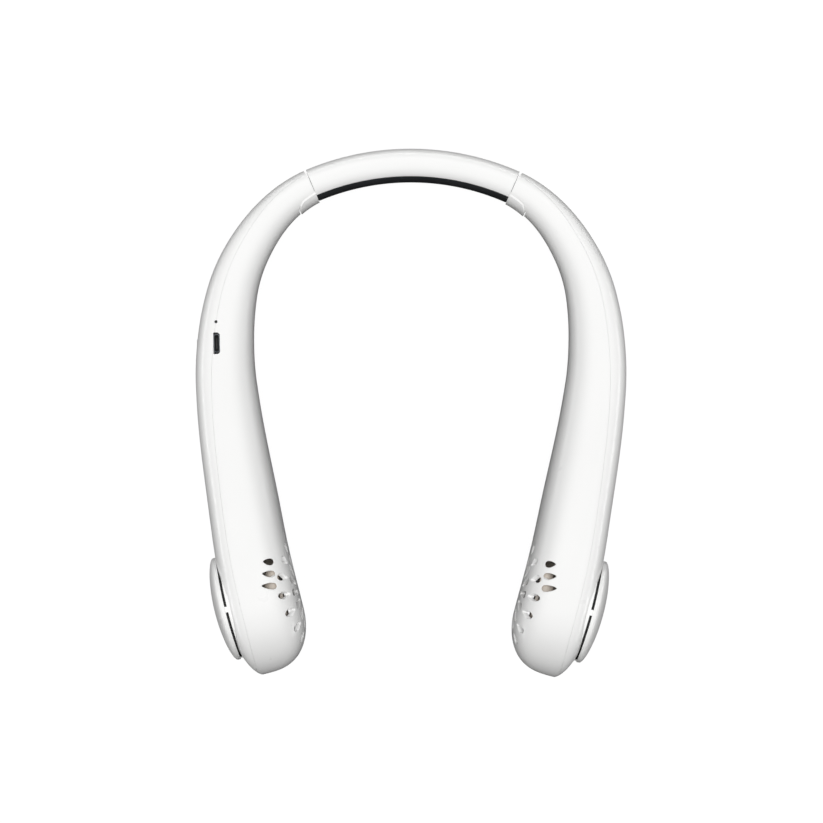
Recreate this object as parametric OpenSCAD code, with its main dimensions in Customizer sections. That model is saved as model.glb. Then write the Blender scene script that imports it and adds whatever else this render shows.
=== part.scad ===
// Electric neck fan: a band behind the neck, two hinged arms and a fan in each head.
// It lies on its underside: X runs left to right, Y from the heads to the band, Z up.
// The arms are mirror images. Each is drawn as the left one, along a reference line:
// s is the distance from the hinge seam, x runs along the line, y toward the neck.

/* [Band] */
// Radius of the middle of the band
band_r = 105.6; // [95:0.1:120]
// Angle from the middle of the band to a hinge seam
seam_angle = 23.4; // [20:0.1:27]
// Width of the band from its outer to its inner face
band_w = 14.1; // [13.4:0.1:16]
// Height of the band
band_h = 20; // [19:0.5:23]
// How deep the soft neck pad is let into the band
pad_depth = 2.5; // [1.5:0.1:3]
// Height of the soft neck pad
pad_h = 16; // [13:0.5:17]

/* [Arm line] */
// Length of the first bend below the hinge
upper_bend_len = 13.3; // [11:0.1:16]
// Turn of the first bend
upper_bend_turn = 12.2; // [9:0.1:15]
// Length of the long bend over the shoulder
shoulder_bend_len = 46.8; // [41:0.1:53]
// Turn of the long bend
shoulder_bend_turn = 45.2; // [40:0.1:50]
// Length of the gentle bend beside the neck
side_bend_len = 39.7; // [34:0.1:46]
// Turn of the gentle bend
side_bend_turn = 18.8; // [15:0.1:22]
// Length of the straight part that holds the battery
straight_len = 59.4; // [57:0.1:68]
// Length of the bend into the head
head_bend_len = 30.6; // [26:0.1:36]
// Tilt of the fan's face from the object's middle plane
head_tilt = 14.5; // [11:0.5:18]

/* [Arm shells] */
// Thickness of the head from its outer to its inner face
head_w = 31.5; // [30.5:0.1:34]
// Height of the head
head_h = 50; // [49:0.5:54]
// Length of the head beyond the fan's axis
tip_len = 30.3; // [29:0.1:34]
// Thickness of the shell walls
wall = 1.7; // [1.4:0.1:2]
// Depth of the parting line below the outer face
parting_depth = 7; // [6:0.1:8]
// Width of the hairline along the parting line
parting_gap = 0.15; // [0.1:0.01:0.25]

/* [Hinge] */
// Distance of the hinge pin from the outer face
pin_depth = 4; // [3.8:0.1:4.3]
// Distance of the hinge pin from the seam
pin_setback = 3.5; // [3.2:0.1:4]
// Diameter of the hinge pin
pin_d = 2; // [1.6:0.1:2.2]
// Clearance round the hinge pin
pin_clearance = 0.03; // [0.02:0.01:0.06]
// How far an arm opens
open_angle = 15; // [5:1:16]
// Gap at the hinge seam
seam_gap = 0.2; // [0.15:0.01:0.3]
// Length of the hinge tongue's cover patch
patch_len = 9; // [8:0.1:10]
// Height of the cover patch
patch_h = 18; // [16:0.5:18.5]

/* [Air] */
// Margin of the head above and below the intake cover
cover_margin = 3.2; // [2.5:0.1:4.5]
// Gap under the intake cover
cover_gap = 1; // [0.8:0.1:1.4]
// Height of the intake cover's dome
cover_h = 3.4; // [3:0.1:4.5]
// Number of petal slots in a grille
petal_count = 18; // [16:1:20]
// Outer radius of the petal ring
petal_r = 23.8; // [23.4:0.1:24]
// Inner radius of the petal ring
petal_root_r = 9.5; // [8:0.1:11]
// Radius of the ring that parts the outer petals from the inner ones
grille_ring_r = 18.5; // [18:0.1:19]
// Width of the grille's ring
grille_ring_w = 1.8; // [1.6:0.1:2.2]
// Width of a petal slot
petal_w = 3.2; // [2.4:0.1:3.6]
// Number of outlets in the top of a head
outlet_count = 3; // [2:1:4]
// Width of an outlet
outlet_w = 2.8; // [2.2:0.1:3.2]
// Length of the first outlet
outlet_len = 4.4; // [4:0.1:6]
// Distance between the outlets
outlet_pitch = 5; // [4.2:0.1:5.5]

/* [Fan] */
// Room between the impeller's rim and the shell
impeller_room = 3.8; // [3.4:0.1:5.2]
// Room between the impeller and the head's inner face
impeller_floor_room = 5.1; // [4.8:0.1:7]
// Number of impeller blades
blade_count = 13; // [7:1:15]
// Diameter of the motor shaft
shaft_d = 1.5; // [1.2:0.1:2]
// Clearance round the motor shaft
shaft_clearance = 0.02; // [0.01:0.005:0.04]
// Diameter of the motor's stator
stator_d = 13; // [11:0.5:13.2]

/* [Electrics] */
// Length of the circuit board
board_len = 34; // [30:0.5:37]
// Height of the circuit board
board_h = 20; // [17:0.5:21]
// Thickness of the circuit board
board_t = 1; // [0.8:0.1:1.6]
// Distance of the charging socket from the hinge seam
socket_s = 81.4; // [79:0.1:85]
// Depth of the charging socket below the outer face
socket_depth = 8.4; // [8.2:0.1:9]
// Length of the charging socket's opening in the shells
socket_cut_len = 9; // [8.4:0.1:10]
// Width of the charging socket's opening in the shells
socket_cut_w = 3.1; // [2.9:0.1:3.6]
// Distance of the status light ahead of the socket
light_offset = 8.8; // [8:0.1:10]
// Diameter of the status light
light_d = 1.2; // [1:0.1:1.6]
// Diameter of the power button
button_d = 8; // [6:0.5:9]
// Travel of the power button
button_travel = 0.5; // [0.3:0.1:0.6]
// Length of a battery cell
cell_len = 48; // [40:0.5:50]
// Thickness of a battery cell
cell_t = 9; // [7:0.5:10]
// Height of a battery cell
cell_h = 26; // [20:0.5:27]
// Diameter of the leads
lead_d = 1.8; // [1.2:0.1:2.2]

/* [Hidden] */
$fn = 48;

white = "#f7f7f7";
dark_rubber = "#26282a";
taupe = "#a39c93";
steel = "#b9bcc0";

// Overrun of a cut past the solid that it cuts
over = 1;
// Running gap between plain parts of one body
fit = 0.15;
// Running gap between parts that move past each other
slip = 0.25;

// How the arm's width and height grow from the hinge to the head, at equal steps of s
outer_reach_shares = [0, -0.08, 0.32, 0.765, 0.915, 1];
inner_reach_shares = [0.03, 0.55, 0.72, 0.71, 0.885, 1];
height_shares = [0, 0.12, 0.36, 0.62, 0.87, 1];
parting_shares = [0.27, 0.75, 1, 0.94, 0.87, 0.94];
// Where the crest of the top lies between the inner and the outer face
crest_share = 0.58;
// How much of the half height the flat underside takes away
flat_share = 0.03;
// How square the sections are: powers at the hinge and at the head
outer_power_share = [2.8, 3.8];
inner_power_share = [2.4, 2.9];
// How the head closes toward its tip
tip_start_share = 0.26;
tip_outer_draw_share = 0.27;
tip_inner_draw_share = 0.69;
tip_outer_power_share = 0.65;
tip_inner_power_share = 0.36;

// The arm line's bends
bend_lens = [upper_bend_len, shoulder_bend_len, side_bend_len, straight_len, head_bend_len];
straight_turn = 0;
head_bend_turn = 90 + head_tilt - seam_angle - upper_bend_turn - shoulder_bend_turn
    - side_bend_turn;
bend_turns = [upper_bend_turn, shoulder_bend_turn, side_bend_turn, straight_turn,
    head_bend_turn];
arm_len = sum(bend_lens);
path_steps = 88;
path_step = arm_len / path_steps;
seam_point = band_r * [-sin(seam_angle), cos(seam_angle)];
path = [for (i = 0, p = seam_point; i <= path_steps;
    p = p + path_step * along((i + 0.5) * path_step), i = i + 1) p];

// Degrees in a radian
radian = 180 / PI;

// Hinge
hinge_wall = 0.8;
barrel_r = pin_d / 2 + hinge_wall;
barrel_h = 6;
ear_r = barrel_r - 2 * fit;
ear_t = 1.5;
ear_side = pin_d / 2;
bracket_x = barrel_r + 2 * slip;
bracket_t = 1.2;
bracket_foot = 2.8;
bulkhead_t = 3;
hinge_screw_r = 0.6;
hinge_screw_head_h = 0.7;
hinge_screw_z = barrel_h / 2;
plug_len = 8;
web_side = 0.6;
web_h = band_h - 6 * wall;
pin_y = pin_depth - band_w / 2;
patch_depth = 4.6;
patch_y = band_w / 2 - patch_depth;
patch_corner_share = 0.17;
patch_steps = 4;

// Grille and outlets
petal_phase_share = 0.5;
petal_root_share = 0.4;
petal_inset = 11;
outlet_setback = 15.3;
outlet_y = 6.2;
outlet_drift = 0.9;
outlet_growth_share = 0.22;
outlet_steps = 4;

// Intake cover
cover_d = head_h - 2 * cover_margin;
face_r = 160;
cover_rim_t = 1.2;
cover_wall = 1.4;
cover_crown_share = 1;
cover_steps = 10;
inlet_lip = 2.5;
impeller_d = head_h - 2 * (wall + impeller_room);
intake_r = impeller_d / 2 - inlet_lip;
rib_turns = [0, 90, 180, 270];
rib_len = 2.8;
rib_w = 3;
rib_ring_r = cover_d / 2 - rib_len / 2;
rib_reach = 2 * cover_gap;
peg_r = 1;
peg_len = rib_reach + wall + over;

// Motor and impeller
mount_drop = 4;
mount_t = 1.6;
mount_n = head_w / 2 - wall - mount_drop;
boss_r = 2.4;
// How far the bosses lie toward the tip and up, of the head's length and half height
boss_place_shares = [0.61, 0.48];
boss_place = [boss_place_shares[0] * tip_len, boss_place_shares[1] * head_h / 2];
boss_ring_r = norm(boss_place);
boss_turn = atan2(boss_place[1], boss_place[0]);
boss_turns = [boss_turn, 180 - boss_turn, 180 + boss_turn, 360 - boss_turn];
mount_screw_r = 0.7;
mount_screw_bite = 3;
rotor_gap = 0.9;
impeller_bottom_n = wall + impeller_floor_room - head_w / 2;
impeller_h = mount_n - mount_t - rotor_gap - impeller_bottom_n;
plate_t = 1.2;
rim_share = 0.88;
stator_h = 7;
stator_teeth = 9;
stator_tooth_w = 1.2;
stator_bottom_n = mount_n - mount_t - rotor_gap - slip - stator_h;
tube_r = 2.5;
tube_wall = 1;
tube_bottom_n = stator_bottom_n - 2 * slip;
bearing_r = tube_r - tube_wall;
bearing_h = 3;
magnet_t = 1.5;
magnet_gap = 0.5;
cup_r = stator_d / 2 + magnet_gap + magnet_t;
cup_floor_n = tube_bottom_n - 2 * slip;
cup_floor_t = 2;
shaft_bottom_n = cup_floor_n - 2 * cup_floor_t;
blade_t = 0.9;
blade_steps = 5;
blade_sweep = 32;

// Circuit board and what is on it
socket_len = 7.6;
socket_w = 2.5;
socket_h = 5.6;
socket_skin = 0.3;
socket_recess = 0.6;
socket_bevel = 0.8;
socket_y = socket_depth - outer_reach(socket_s);
cell_place_share = 0.44;
cell_s = bend_start(3) + straight_len * cell_place_share;
board_gap = 1.5;
board_s = cell_s - cell_len / 2 - board_gap - board_len / 2;
board_headroom = 0.8;
socket_at = seen_from(board_s, line_at(socket_s) + socket_y * inward(socket_s));
board_y = socket_at[1] + socket_w / 2 + board_t / 2;
board_top_z = skin_top_z(board_s - board_len / 2) - wall - board_headroom;
board_bottom_z = board_top_z - board_h;
board_rib_shares = [-0.95, 0.85];
chip_w = 6;
chip_t = 1.2;
coil_r = 3;
coil_h = 2.4;
capacitor_w = 3;
capacitor_h = 2;
parts_gap = 1.5;
light_s = socket_s - light_offset;
light_foot = 2;
light_at = seen_from(board_s, line_at(light_s) + parting_y(light_s) * inward(light_s));
button_s = board_s;
button_z = mid_z(button_s);
button_clearance = 0.1;
button_cap_h = 3.5;
button_recess = 0.15;
button_flange = 0.8;
button_stop = 0.05;
collar_h = button_cap_h + button_recess - button_stop;
collar_r = button_d / 2 + button_clearance + button_flange;
switch_w = 4.5;
switch_h = 2.4;
switch_plunger = 1;

// Battery and leads
cell_y = 0;
cell_mid_z = mid_z(cell_s);
cell_corner_share = 0.3;
cell_rib_shares = [-0.6, 0.1, 0.75];
rib_t = 1.4;
lead_step = 10;
lead_steps = 5;

ring_count = 36;
arm_steps = 22;
tip_angles = [12, 24, 36, 48, 58, 67, 75, 82, 87];
core_angles = [15, 30, 45, 60, 74];

// The frame of the arm's reference line
function sum(v, i = 0) = i >= len(v) ? 0 : v[i] + sum(v, i + 1);
function mix(a, b, share) = a + (b - a) * share;
function clamp(v) = min(1, max(0, v));
function bend_start(i) = i == 0 ? 0 : bend_start(i - 1) + bend_lens[i - 1];
function heading(s) = seam_angle
    + sum([for (i = [0:4]) bend_turns[i] * clamp((s - bend_start(i)) / bend_lens[i])]);
function along(s) = [-cos(heading(s)), -sin(heading(s))];
function inward(s) = [sin(heading(s)), -cos(heading(s))];
function path_at(k) = let (i = min(path_steps - 1, floor(k))) mix(path[i], path[i + 1], k - i);
function line_at(s) = s < 0 ? seam_point + s * along(0)
    : s > arm_len ? path[path_steps] + (s - arm_len) * along(arm_len)
    : path_at(s / path_step);
// Where a point lies for someone who stands on the line at s: how far along, and toward the neck
function seen_from(s, point) = let (d = point - line_at(s)) [d * along(s), d * inward(s)];

// A smooth curve through equally spaced shares
function smooth_share(table, x) = let (
    last = len(table) - 1,
    k = clamp(x) * last,
    i = min(last - 1, floor(k)),
    f = k - i,
    a = table[max(0, i - 1)], b = table[i], c = table[i + 1], d = table[min(last, i + 2)])
    b + f * ((c - a) + f * ((2 * a - 5 * b + 4 * c - d) + f * (3 * (b - c) + d - a))) / 2;

// The arm's section at s, inset by a wall: how far it reaches out and in, and how high
function tip_fade(s, inset, power) = let (
    start = tip_start_share * tip_len,
    v = clamp((s - arm_len - start) / (tip_len - inset - start)))
    pow(1 - v * v, power);
function outer_reach(s, inset = 0) = mix(band_w, head_w, smooth_share(outer_reach_shares,
    s / arm_len)) / 2 - inset
    - tip_outer_draw_share * head_w * (1 - tip_fade(s, inset, tip_outer_power_share));
function inner_reach(s, inset = 0) = mix(band_w, head_w, smooth_share(inner_reach_shares,
    s / arm_len)) / 2 - inset
    - tip_inner_draw_share * head_w * (1 - tip_fade(s, inset, tip_inner_power_share));
function full_half_h(s) = mix(band_h, head_h, smooth_share(height_shares, s / arm_len))
    / (2 - flat_share);
function tip_close(s, inset) = let (v = clamp((s - arm_len) / (tip_len - inset)))
    sqrt(1 - v * v);
function half_h(s, inset = 0) = (full_half_h(s) - inset) * tip_close(s, inset);
function mid_z(s) = full_half_h(s) * (1 - flat_share);
function parting_y(s) = parting_depth * smooth_share(parting_shares, s / arm_len)
    - mix(band_w, head_w, smooth_share(outer_reach_shares, s / arm_len)) / 2;

// One point of a section: y toward the neck and z up
function section_point(out_reach, in_reach, half, middle, floor_z, grown, turn) = let (
    c = cos(turn), n = sin(turn),
    crest = in_reach - crest_share * (in_reach + out_reach),
    power = 2 / (c > 0 ? mix(outer_power_share[0], outer_power_share[1], grown)
        : mix(inner_power_share[0], inner_power_share[1], grown)),
    reach = c > 0 ? crest + out_reach : in_reach - crest)
    [crest - sign(c) * reach * pow(abs(c), power),
     max(floor_z, middle + sign(n) * half * pow(abs(n), power))];
function ring_turns() = [for (j = [0:ring_count - 1]) 360 * j / ring_count];
function ring(s, inset) = let (p = line_at(s), q = inward(s), g = s / arm_len)
    [for (turn = ring_turns())
        let (e = section_point(outer_reach(s, inset), inner_reach(s, inset),
            half_h(s, inset), mid_z(s), inset, clamp(g), turn))
        [p[0] + e[0] * q[0], p[1] + e[0] * q[1], e[1]]];

// A solid skinned over rings of equally many points
module skin(rings) {
    count = len(rings[0]);
    last = len(rings) - 1;
    sides = [for (i = [0:last - 1], j = [0:count - 1])
        let (a = i * count + j, b = i * count + (j + 1) % count)
        each [[a, b, a + count], [b, b + count, a + count]]];
    first_cap = [for (j = [count - 1:-1:0]) j];
    last_cap = [for (j = [0:count - 1]) last * count + j];
    polyhedron([for (r = rings, p = r) p], concat([first_cap, last_cap], sides));
}

function arm_stations(from, to, steps) = [for (i = [0:steps]) mix(from, to, i / steps)];
function tip_stations(angles, length) = [for (a = angles) arm_len + length * sin(a)];

module arm_body() {
    skin([for (s = concat(arm_stations(seam_gap, arm_len, arm_steps),
        tip_stations(tip_angles, tip_len))) ring(s, 0)]);
}

module arm_cavity() {
    skin([for (s = concat(arm_stations(-over, arm_len, arm_steps),
        tip_stations(core_angles, tip_len - wall))) ring(s, wall)]);
}

// A slice of the arm between two stations, inset from its faces
module arm_slice(from, to, steps, inset) {
    skin([for (s = arm_stations(from, to, steps)) ring(s, inset)]);
}

// Everything on the neck side of the parting line, or on the other side
module parting_side(toward_neck) {
    far = head_w * (toward_neck ? 1 : -1);
    gap = parting_gap / 2 * (toward_neck ? 1 : -1);
    stations = concat([-over], arm_stations(0, arm_len, arm_steps), [arm_len + tip_len + over]);
    near_line = [for (s = stations) line_at(s) + (parting_y(s) + gap) * inward(s)];
    far_line = [for (i = [len(stations) - 1:-1:0])
        line_at(stations[i]) + (parting_y(stations[i]) + far) * inward(stations[i])];
    translate([0, 0, -over])
        linear_extrude(head_h + 2 * over)
            polygon(concat(near_line, far_line));
}

// Places its children on the reference line at s, with x along and y toward the neck
module at_line(s, y = 0, z = 0) {
    translate([line_at(s)[0], line_at(s)[1], z])
        rotate(180 + heading(s))
            translate([0, y])
                children();
}

// Places its children on the fan's axis, with their z pointing outward from y
module at_fan(y) {
    at_line(arm_len, y, mid_z(arm_len))
        rotate([90, 0, 0])
            children();
}

// Moves its children from the band's centre to the middle of the whole part
lowest_y = min([for (s = tip_stations(tip_angles, tip_len), p = ring(s, 0)) p[1]]);
middle_y = (band_r + band_w / 2 + lowest_y) / 2;

module in_middle() {
    translate([0, -middle_y, 0])
        children();
}

// Draws the left part, or its mirror image
module on_side(left) {
    in_middle()
        if (left) {
            children();
        } else {
            mirror([1, 0, 0])
                children();
        }
}

// Band
band_half_h = band_h / (2 - flat_share);
band_mid_z = band_half_h * (1 - flat_share);
pad_y = band_w / 2 - pad_depth;

module band_section(inset) {
    polygon([for (turn = ring_turns())
        let (e = section_point(band_w / 2 - inset, band_w / 2 - inset, band_half_h - inset,
            band_mid_z, inset, 0, turn))
        [band_r - e[0], e[1]]]);
}

module pad_window(extra) {
    translate([band_r - band_w, band_mid_z - pad_h / 2 - extra])
        square([band_w - pad_y + extra, pad_h + 2 * extra]);
}

module band_sweep(angle) {
    rotate(90 - angle)
        rotate_extrude(angle = 2 * angle, $fn = 96)
            children();
}

module band_shell() {
    color(white)
        band_sweep(seam_angle)
            difference() {
                band_section(0);
                band_section(wall);
                pad_window(0);
            }
}

module neck_pad() {
    color(dark_rubber)
        band_sweep(seam_angle)
            intersection() {
                band_section(0);
                pad_window(-fit / 2);
            }
}

// A lead inside the band, from hinge to hinge
module band_lead() {
    plug_angle = seam_angle - plug_len / band_r * radian;
    color(dark_rubber)
        band_sweep(plug_angle)
            translate([band_r, band_mid_z])
                circle(d = lead_d, $fn = 24);
}

// Places its children at the hinge seam, with z from the middle of the band
module at_seam() {
    at_line(0, 0, band_mid_z)
        children();
}

module at_pin() {
    at_seam()
        translate([pin_setback, pin_y])
            children();
}

// The band's territory, turned as an open arm sees it
module band_side(turn) {
    at_pin()
        rotate(turn)
            translate([-band_w - pin_setback, -band_w, -band_h])
                cube([band_w + seam_gap, 2 * band_w, 2 * band_h]);
}

// The cover patch as a plate that reaches in from the neck side, with round far corners
module patch_block(extra, turn) {
    length = patch_len + extra;
    height = patch_h + 2 * extra;
    corner = patch_corner_share * height;
    at_pin()
        rotate(turn)
            translate([-pin_setback, patch_y - pin_y - extra])
                rotate([-90, 0, 0])
                    linear_extrude(band_w) {
                        translate([-over, -height / 2])
                            square([length - corner + over, height]);
                        translate([0, corner - height / 2])
                            square([length, height - 2 * corner]);
                        for (side = [-1, 1])
                            translate([length - corner, side * (height / 2 - corner)])
                                circle(corner);
                    }
}

// Fixed in the band's end: a plug, a web, the barrel for the pin and the cover patch
module hinge_tongue() {
    color(white)
        difference() {
            union() {
                rotate(90 + seam_angle - plug_len / band_r * radian)
                    rotate_extrude(angle = plug_len / band_r * radian, $fn = 96)
                        intersection() {
                            band_section(wall + fit);
                            translate([band_r - pad_y + fit, 0])
                                square([band_w, band_h]);
                        }
                intersection() {
                    arm_slice(seam_gap, patch_len + over, patch_steps, 0);
                    patch_block(0, 0);
                }
                at_pin()
                    translate([-pin_setback - over, -web_side, -web_h / 2])
                        cube([pin_setback + over, patch_y - pin_y + web_side + over, web_h]);
                at_pin()
                    cylinder(r = barrel_r, h = barrel_h, center = true);
            }
            at_pin()
                cylinder(d = pin_d + 2 * pin_clearance, h = 2 * band_h, center = true);
            at_pin()
                for (side = [-1, 1])
                    translate([0, 0, side * (barrel_h + band_h) / 2])
                        cylinder(r = ear_r + slip, h = band_h, center = true);
        }
}

// Fixed in the arm: two ears that carry the pin, on a plate
module hinge_bracket() {
    ear_z = barrel_h / 2 + slip;
    color(steel)
        at_pin()
            difference() {
                union() {
                    for (z = [ear_z, -ear_z - ear_t])
                        translate([0, 0, z])
                            linear_extrude(ear_t) {
                                circle(ear_r);
                                translate([0, -ear_side])
                                    square([bracket_x + bracket_t, ear_side + ear_r]);
                            }
                    translate([bracket_x, -ear_side, -ear_z - ear_t])
                        cube([bracket_t, ear_side + ear_r + bracket_foot, 2 * (ear_z + ear_t)]);
                }
                cylinder(d = pin_d, h = band_h, center = true);
                hinge_screw_holes(fit / 2);
            }
}

module hinge_pin() {
    color(steel)
        at_pin()
            cylinder(d = pin_d, h = barrel_h + 2 * (slip + ear_t), center = true);
}

// Drills or screws, in the pin's frame
module hinge_screw_holes(extra) {
    for (side = [-1, 1])
        translate([bracket_x, ear_r + bracket_foot / 2, side * hinge_screw_z])
            rotate([0, 90, 0])
                cylinder(r = hinge_screw_r + extra, h = bracket_t + bulkhead_t, $fn = 24);
}

module hinge_screws() {
    color(steel)
        at_pin() {
            hinge_screw_holes(0);
            for (side = [-1, 1])
                translate([bracket_x - hinge_screw_head_h, ear_r + bracket_foot / 2,
                    side * hinge_screw_z])
                    rotate([0, 90, 0])
                        difference() {
                            cylinder(r = 2 * hinge_screw_r, h = hinge_screw_head_h, $fn = 24);
                            translate([0, 0, hinge_screw_head_h / 4])
                                cube([3 * hinge_screw_r, hinge_screw_r / 2,
                                    hinge_screw_head_h], center = true);
                        }
        }
}

// Shells
module shell_half(toward_neck) {
    intersection() {
        arm_body();
        parting_side(toward_neck);
        union() {
            difference() {
                translate([line_at(arm_len)[0] - arm_len, line_at(arm_len)[1] - arm_len / 2,
                    -over])
                    cube([2 * arm_len, 2 * arm_len, head_h + 2 * over]);
                arm_cavity();
            }
            children();
        }
    }
}

// A cross wall that holds a piece, from one shell face to the other
module cross_rib(s, thickness) {
    at_line(s, -head_w, 0)
        translate([-thickness / 2, 0, 0])
            cube([thickness, 2 * head_w, head_h]);
}

module petal_slots() {
    at_fan(0)
        for (k = [0:petal_count - 1])
            rotate(360 * (k + petal_phase_share) / petal_count)
                translate([0, 0, -head_w])
                    linear_extrude(head_w / 2 + petal_inset) {
                        petal_outline(petal_root_r, grille_ring_r - grille_ring_w / 2);
                        petal_outline(grille_ring_r + grille_ring_w / 2, petal_r);
                    }
}

// Pointed at the root, round at the rim
module petal_outline(root, rim) {
    round_r = petal_w / 2;
    root_r = petal_root_share * petal_w / 2;
    polygon(concat(
        [for (turn = [90:-15:-90]) [rim - round_r + round_r * cos(turn), round_r * sin(turn)]],
        [for (turn = [-90:-45:-270]) [root + root_r * (1 + cos(turn)), root_r * sin(turn)]]));
}

// Drop shaped, with its point away from the neck
module outlet_outline(length) {
    round_r = outlet_w / 2;
    taper = length - round_r;
    tip_y = -length / 2;
    right = [for (k = [outlet_steps:-1:0]) let (share = k / outlet_steps)
        [round_r * sin(90 * share), tip_y + taper * share]];
    left = [for (k = [1:outlet_steps - 1]) let (share = k / outlet_steps)
        [-round_r * sin(90 * share), tip_y + taper * share]];
    cap = [for (turn = [-90:15:75]) [round_r * sin(turn), tip_y + taper + round_r * cos(turn)]];
    polygon(concat(cap, right, left));
}

module outlets() {
    for (k = [0:outlet_count - 1])
        at_line(arm_len - outlet_setback + k * outlet_pitch,
            outlet_y - k * outlet_drift, mid_z(arm_len))
            rotate(-head_tilt)
                linear_extrude(head_h)
                    outlet_outline(outlet_len * (1 + k * outlet_growth_share));
}

module socket_cuts() {
    at_line(board_s, 0, socket_top_z() - socket_h - slip)
        translate(socket_at)
            linear_extrude(head_h)
                polygon([[-socket_cut_len / 2, -socket_cut_w / 2],
                    [socket_cut_len / 2, -socket_cut_w / 2],
                    [socket_cut_len / 2, socket_cut_w / 2 - socket_bevel],
                    [socket_cut_len / 2 - socket_bevel, socket_cut_w / 2],
                    [socket_bevel - socket_cut_len / 2, socket_cut_w / 2],
                    [-socket_cut_len / 2, socket_cut_w / 2 - socket_bevel]]);
    at_line(light_s, parting_y(light_s), mid_z(light_s))
        cylinder(d = light_d + fit, h = head_h, $fn = 24);
}

module outer_shell(left) {
    color(white)
        difference() {
            shell_half(false) {
                for (turn = boss_turns)
                    at_fan(0)
                        rotate(turn)
                            translate([boss_ring_r, 0, mount_n])
                                cylinder(r = boss_r, h = head_w);
                if (left)
                    at_button()
                        translate([0, 0, -collar_h])
                            cylinder(r = collar_r, h = collar_h);
            }
            at_fan(0)
                cylinder(r = intake_r, h = head_w);
            at_fan(0)
                for (turn = rib_turns)
                    rotate(turn)
                        translate([rib_ring_r, 0])
                            cylinder(r = peg_r + fit / 2, h = head_w, $fn = 24);
            at_fan(0)
                mount_screw_shanks(fit / 4);
            band_side(open_angle);
            if (left)
                at_button()
                    translate([0, 0, -head_w / 2])
                        cylinder(r = button_d / 2 + button_clearance, h = head_w);
            if (left)
                socket_cuts();
        }
}

// The cross wall behind the hinge, face to face with the bracket
module bulkhead() {
    at_pin()
        translate([bracket_x + bracket_t, -head_w, -head_h])
            cube([bulkhead_t, 2 * head_w, 2 * head_h]);
}

module inner_shell(left) {
    color(white)
        difference() {
            shell_half(true) {
                bulkhead();
                for (share = cell_rib_shares)
                    cross_rib(cell_s + share * cell_len / 2, rib_t);
                if (left)
                    for (share = board_rib_shares)
                        cross_rib(board_s + share * board_len / 2, rib_t);
            }
            band_side(open_angle);
            for (turn = [0, open_angle / 2, open_angle])
                patch_block(slip, turn);
            at_pin()
                hinge_screw_holes(fit / 4);
            battery_block(fit);
            if (left)
                board_plate(fit);
            if (left)
                light_foot_block(fit);
            if (left)
                socket_cuts();
            petal_slots();
            outlets();
        }
}

// Battery cells
module battery_block(extra) {
    corner = cell_corner_share * cell_t;
    at_line(cell_s, cell_y, cell_mid_z - cell_h / 2)
        translate([0, 0, -extra])
            linear_extrude(cell_h + 2 * extra) {
                square([cell_len - 2 * corner + 2 * extra, cell_t + 2 * extra], center = true);
                square([cell_len + 2 * extra, cell_t - 2 * corner + 2 * extra], center = true);
                for (x = [-1, 1], y = [-1, 1])
                    translate([x * (cell_len / 2 - corner), y * (cell_t / 2 - corner)])
                        circle(corner + extra);
            }
}

module battery() {
    color(steel)
        battery_block(0);
}

// Leads inside an arm, from the board or cell to the motor mount
module motor_lead() {
    r = lead_d / 2;
    start = cell_s - cell_len / 2;
    end = arm_len - impeller_d / 2 - slip;
    route = concat([[start + lead_d, cell_y - cell_t / 2 - r - fit]],
        [for (k = [0:lead_steps]) let (s = start + (k + 0.5) * lead_step)
            [s, parting_y(s) - r - slip]],
        [[end, mount_t / 2 - mount_n]]);
    color(dark_rubber)
        skin([for (stop = route)
            let (p = line_at(stop[0]), q = inward(stop[0]))
            [for (turn = [0:45:315]) let (y = stop[1] - r * cos(turn))
                [p[0] + y * q[0], p[1] + y * q[1], mid_z(stop[0]) + r * sin(turn)]]]);
}

// Fan, along its axis with z outward
function face_drop(r) = pow(r, 2) / (2 * face_r);

// Half of the cover's profile: a dome, a thin rim and a hollow over the intake
module cover_profile() {
    rim_r = cover_d / 2;
    rim_z = cover_rim_t - face_drop(rim_r);
    dome = [for (k = [0:cover_steps]) let (turn = 90 * k / cover_steps)
        [rim_r * cos(turn), rim_z + (cover_h - rim_z) * pow(sin(turn), cover_crown_share)]];
    hollow = [for (k = [cover_steps:-1:0]) let (turn = 90 * k / cover_steps)
        [intake_r * cos(turn), (cover_h - cover_wall) * sin(turn) - face_drop(intake_r)
            * cos(turn)]];
    polygon(concat([[rim_r, -face_drop(rim_r)]], dome, hollow));
}

// Ribs bridge the gap to the shell, and a peg goes through the shell from each
module intake_cover() {
    drop = face_drop(rib_ring_r);
    color(white) {
        difference() {
            at_cover() {
                rotate_extrude($fn = 96)
                    cover_profile();
                for (turn = rib_turns)
                    rotate(turn)
                        translate([rib_ring_r - rib_len / 2, -rib_w / 2, -drop - rib_reach])
                            cube([rib_len, rib_w, rib_reach + cover_rim_t / 2]);
            }
            arm_body();
        }
        at_cover()
            for (turn = rib_turns)
                rotate(turn)
                    translate([rib_ring_r, 0, -drop - peg_len])
                        cylinder(r = peg_r, h = peg_len, $fn = 24);
    }
}

module at_cover() {
    at_fan(0)
        translate([0, 0, head_w / 2 + cover_gap])
            children();
}

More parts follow.
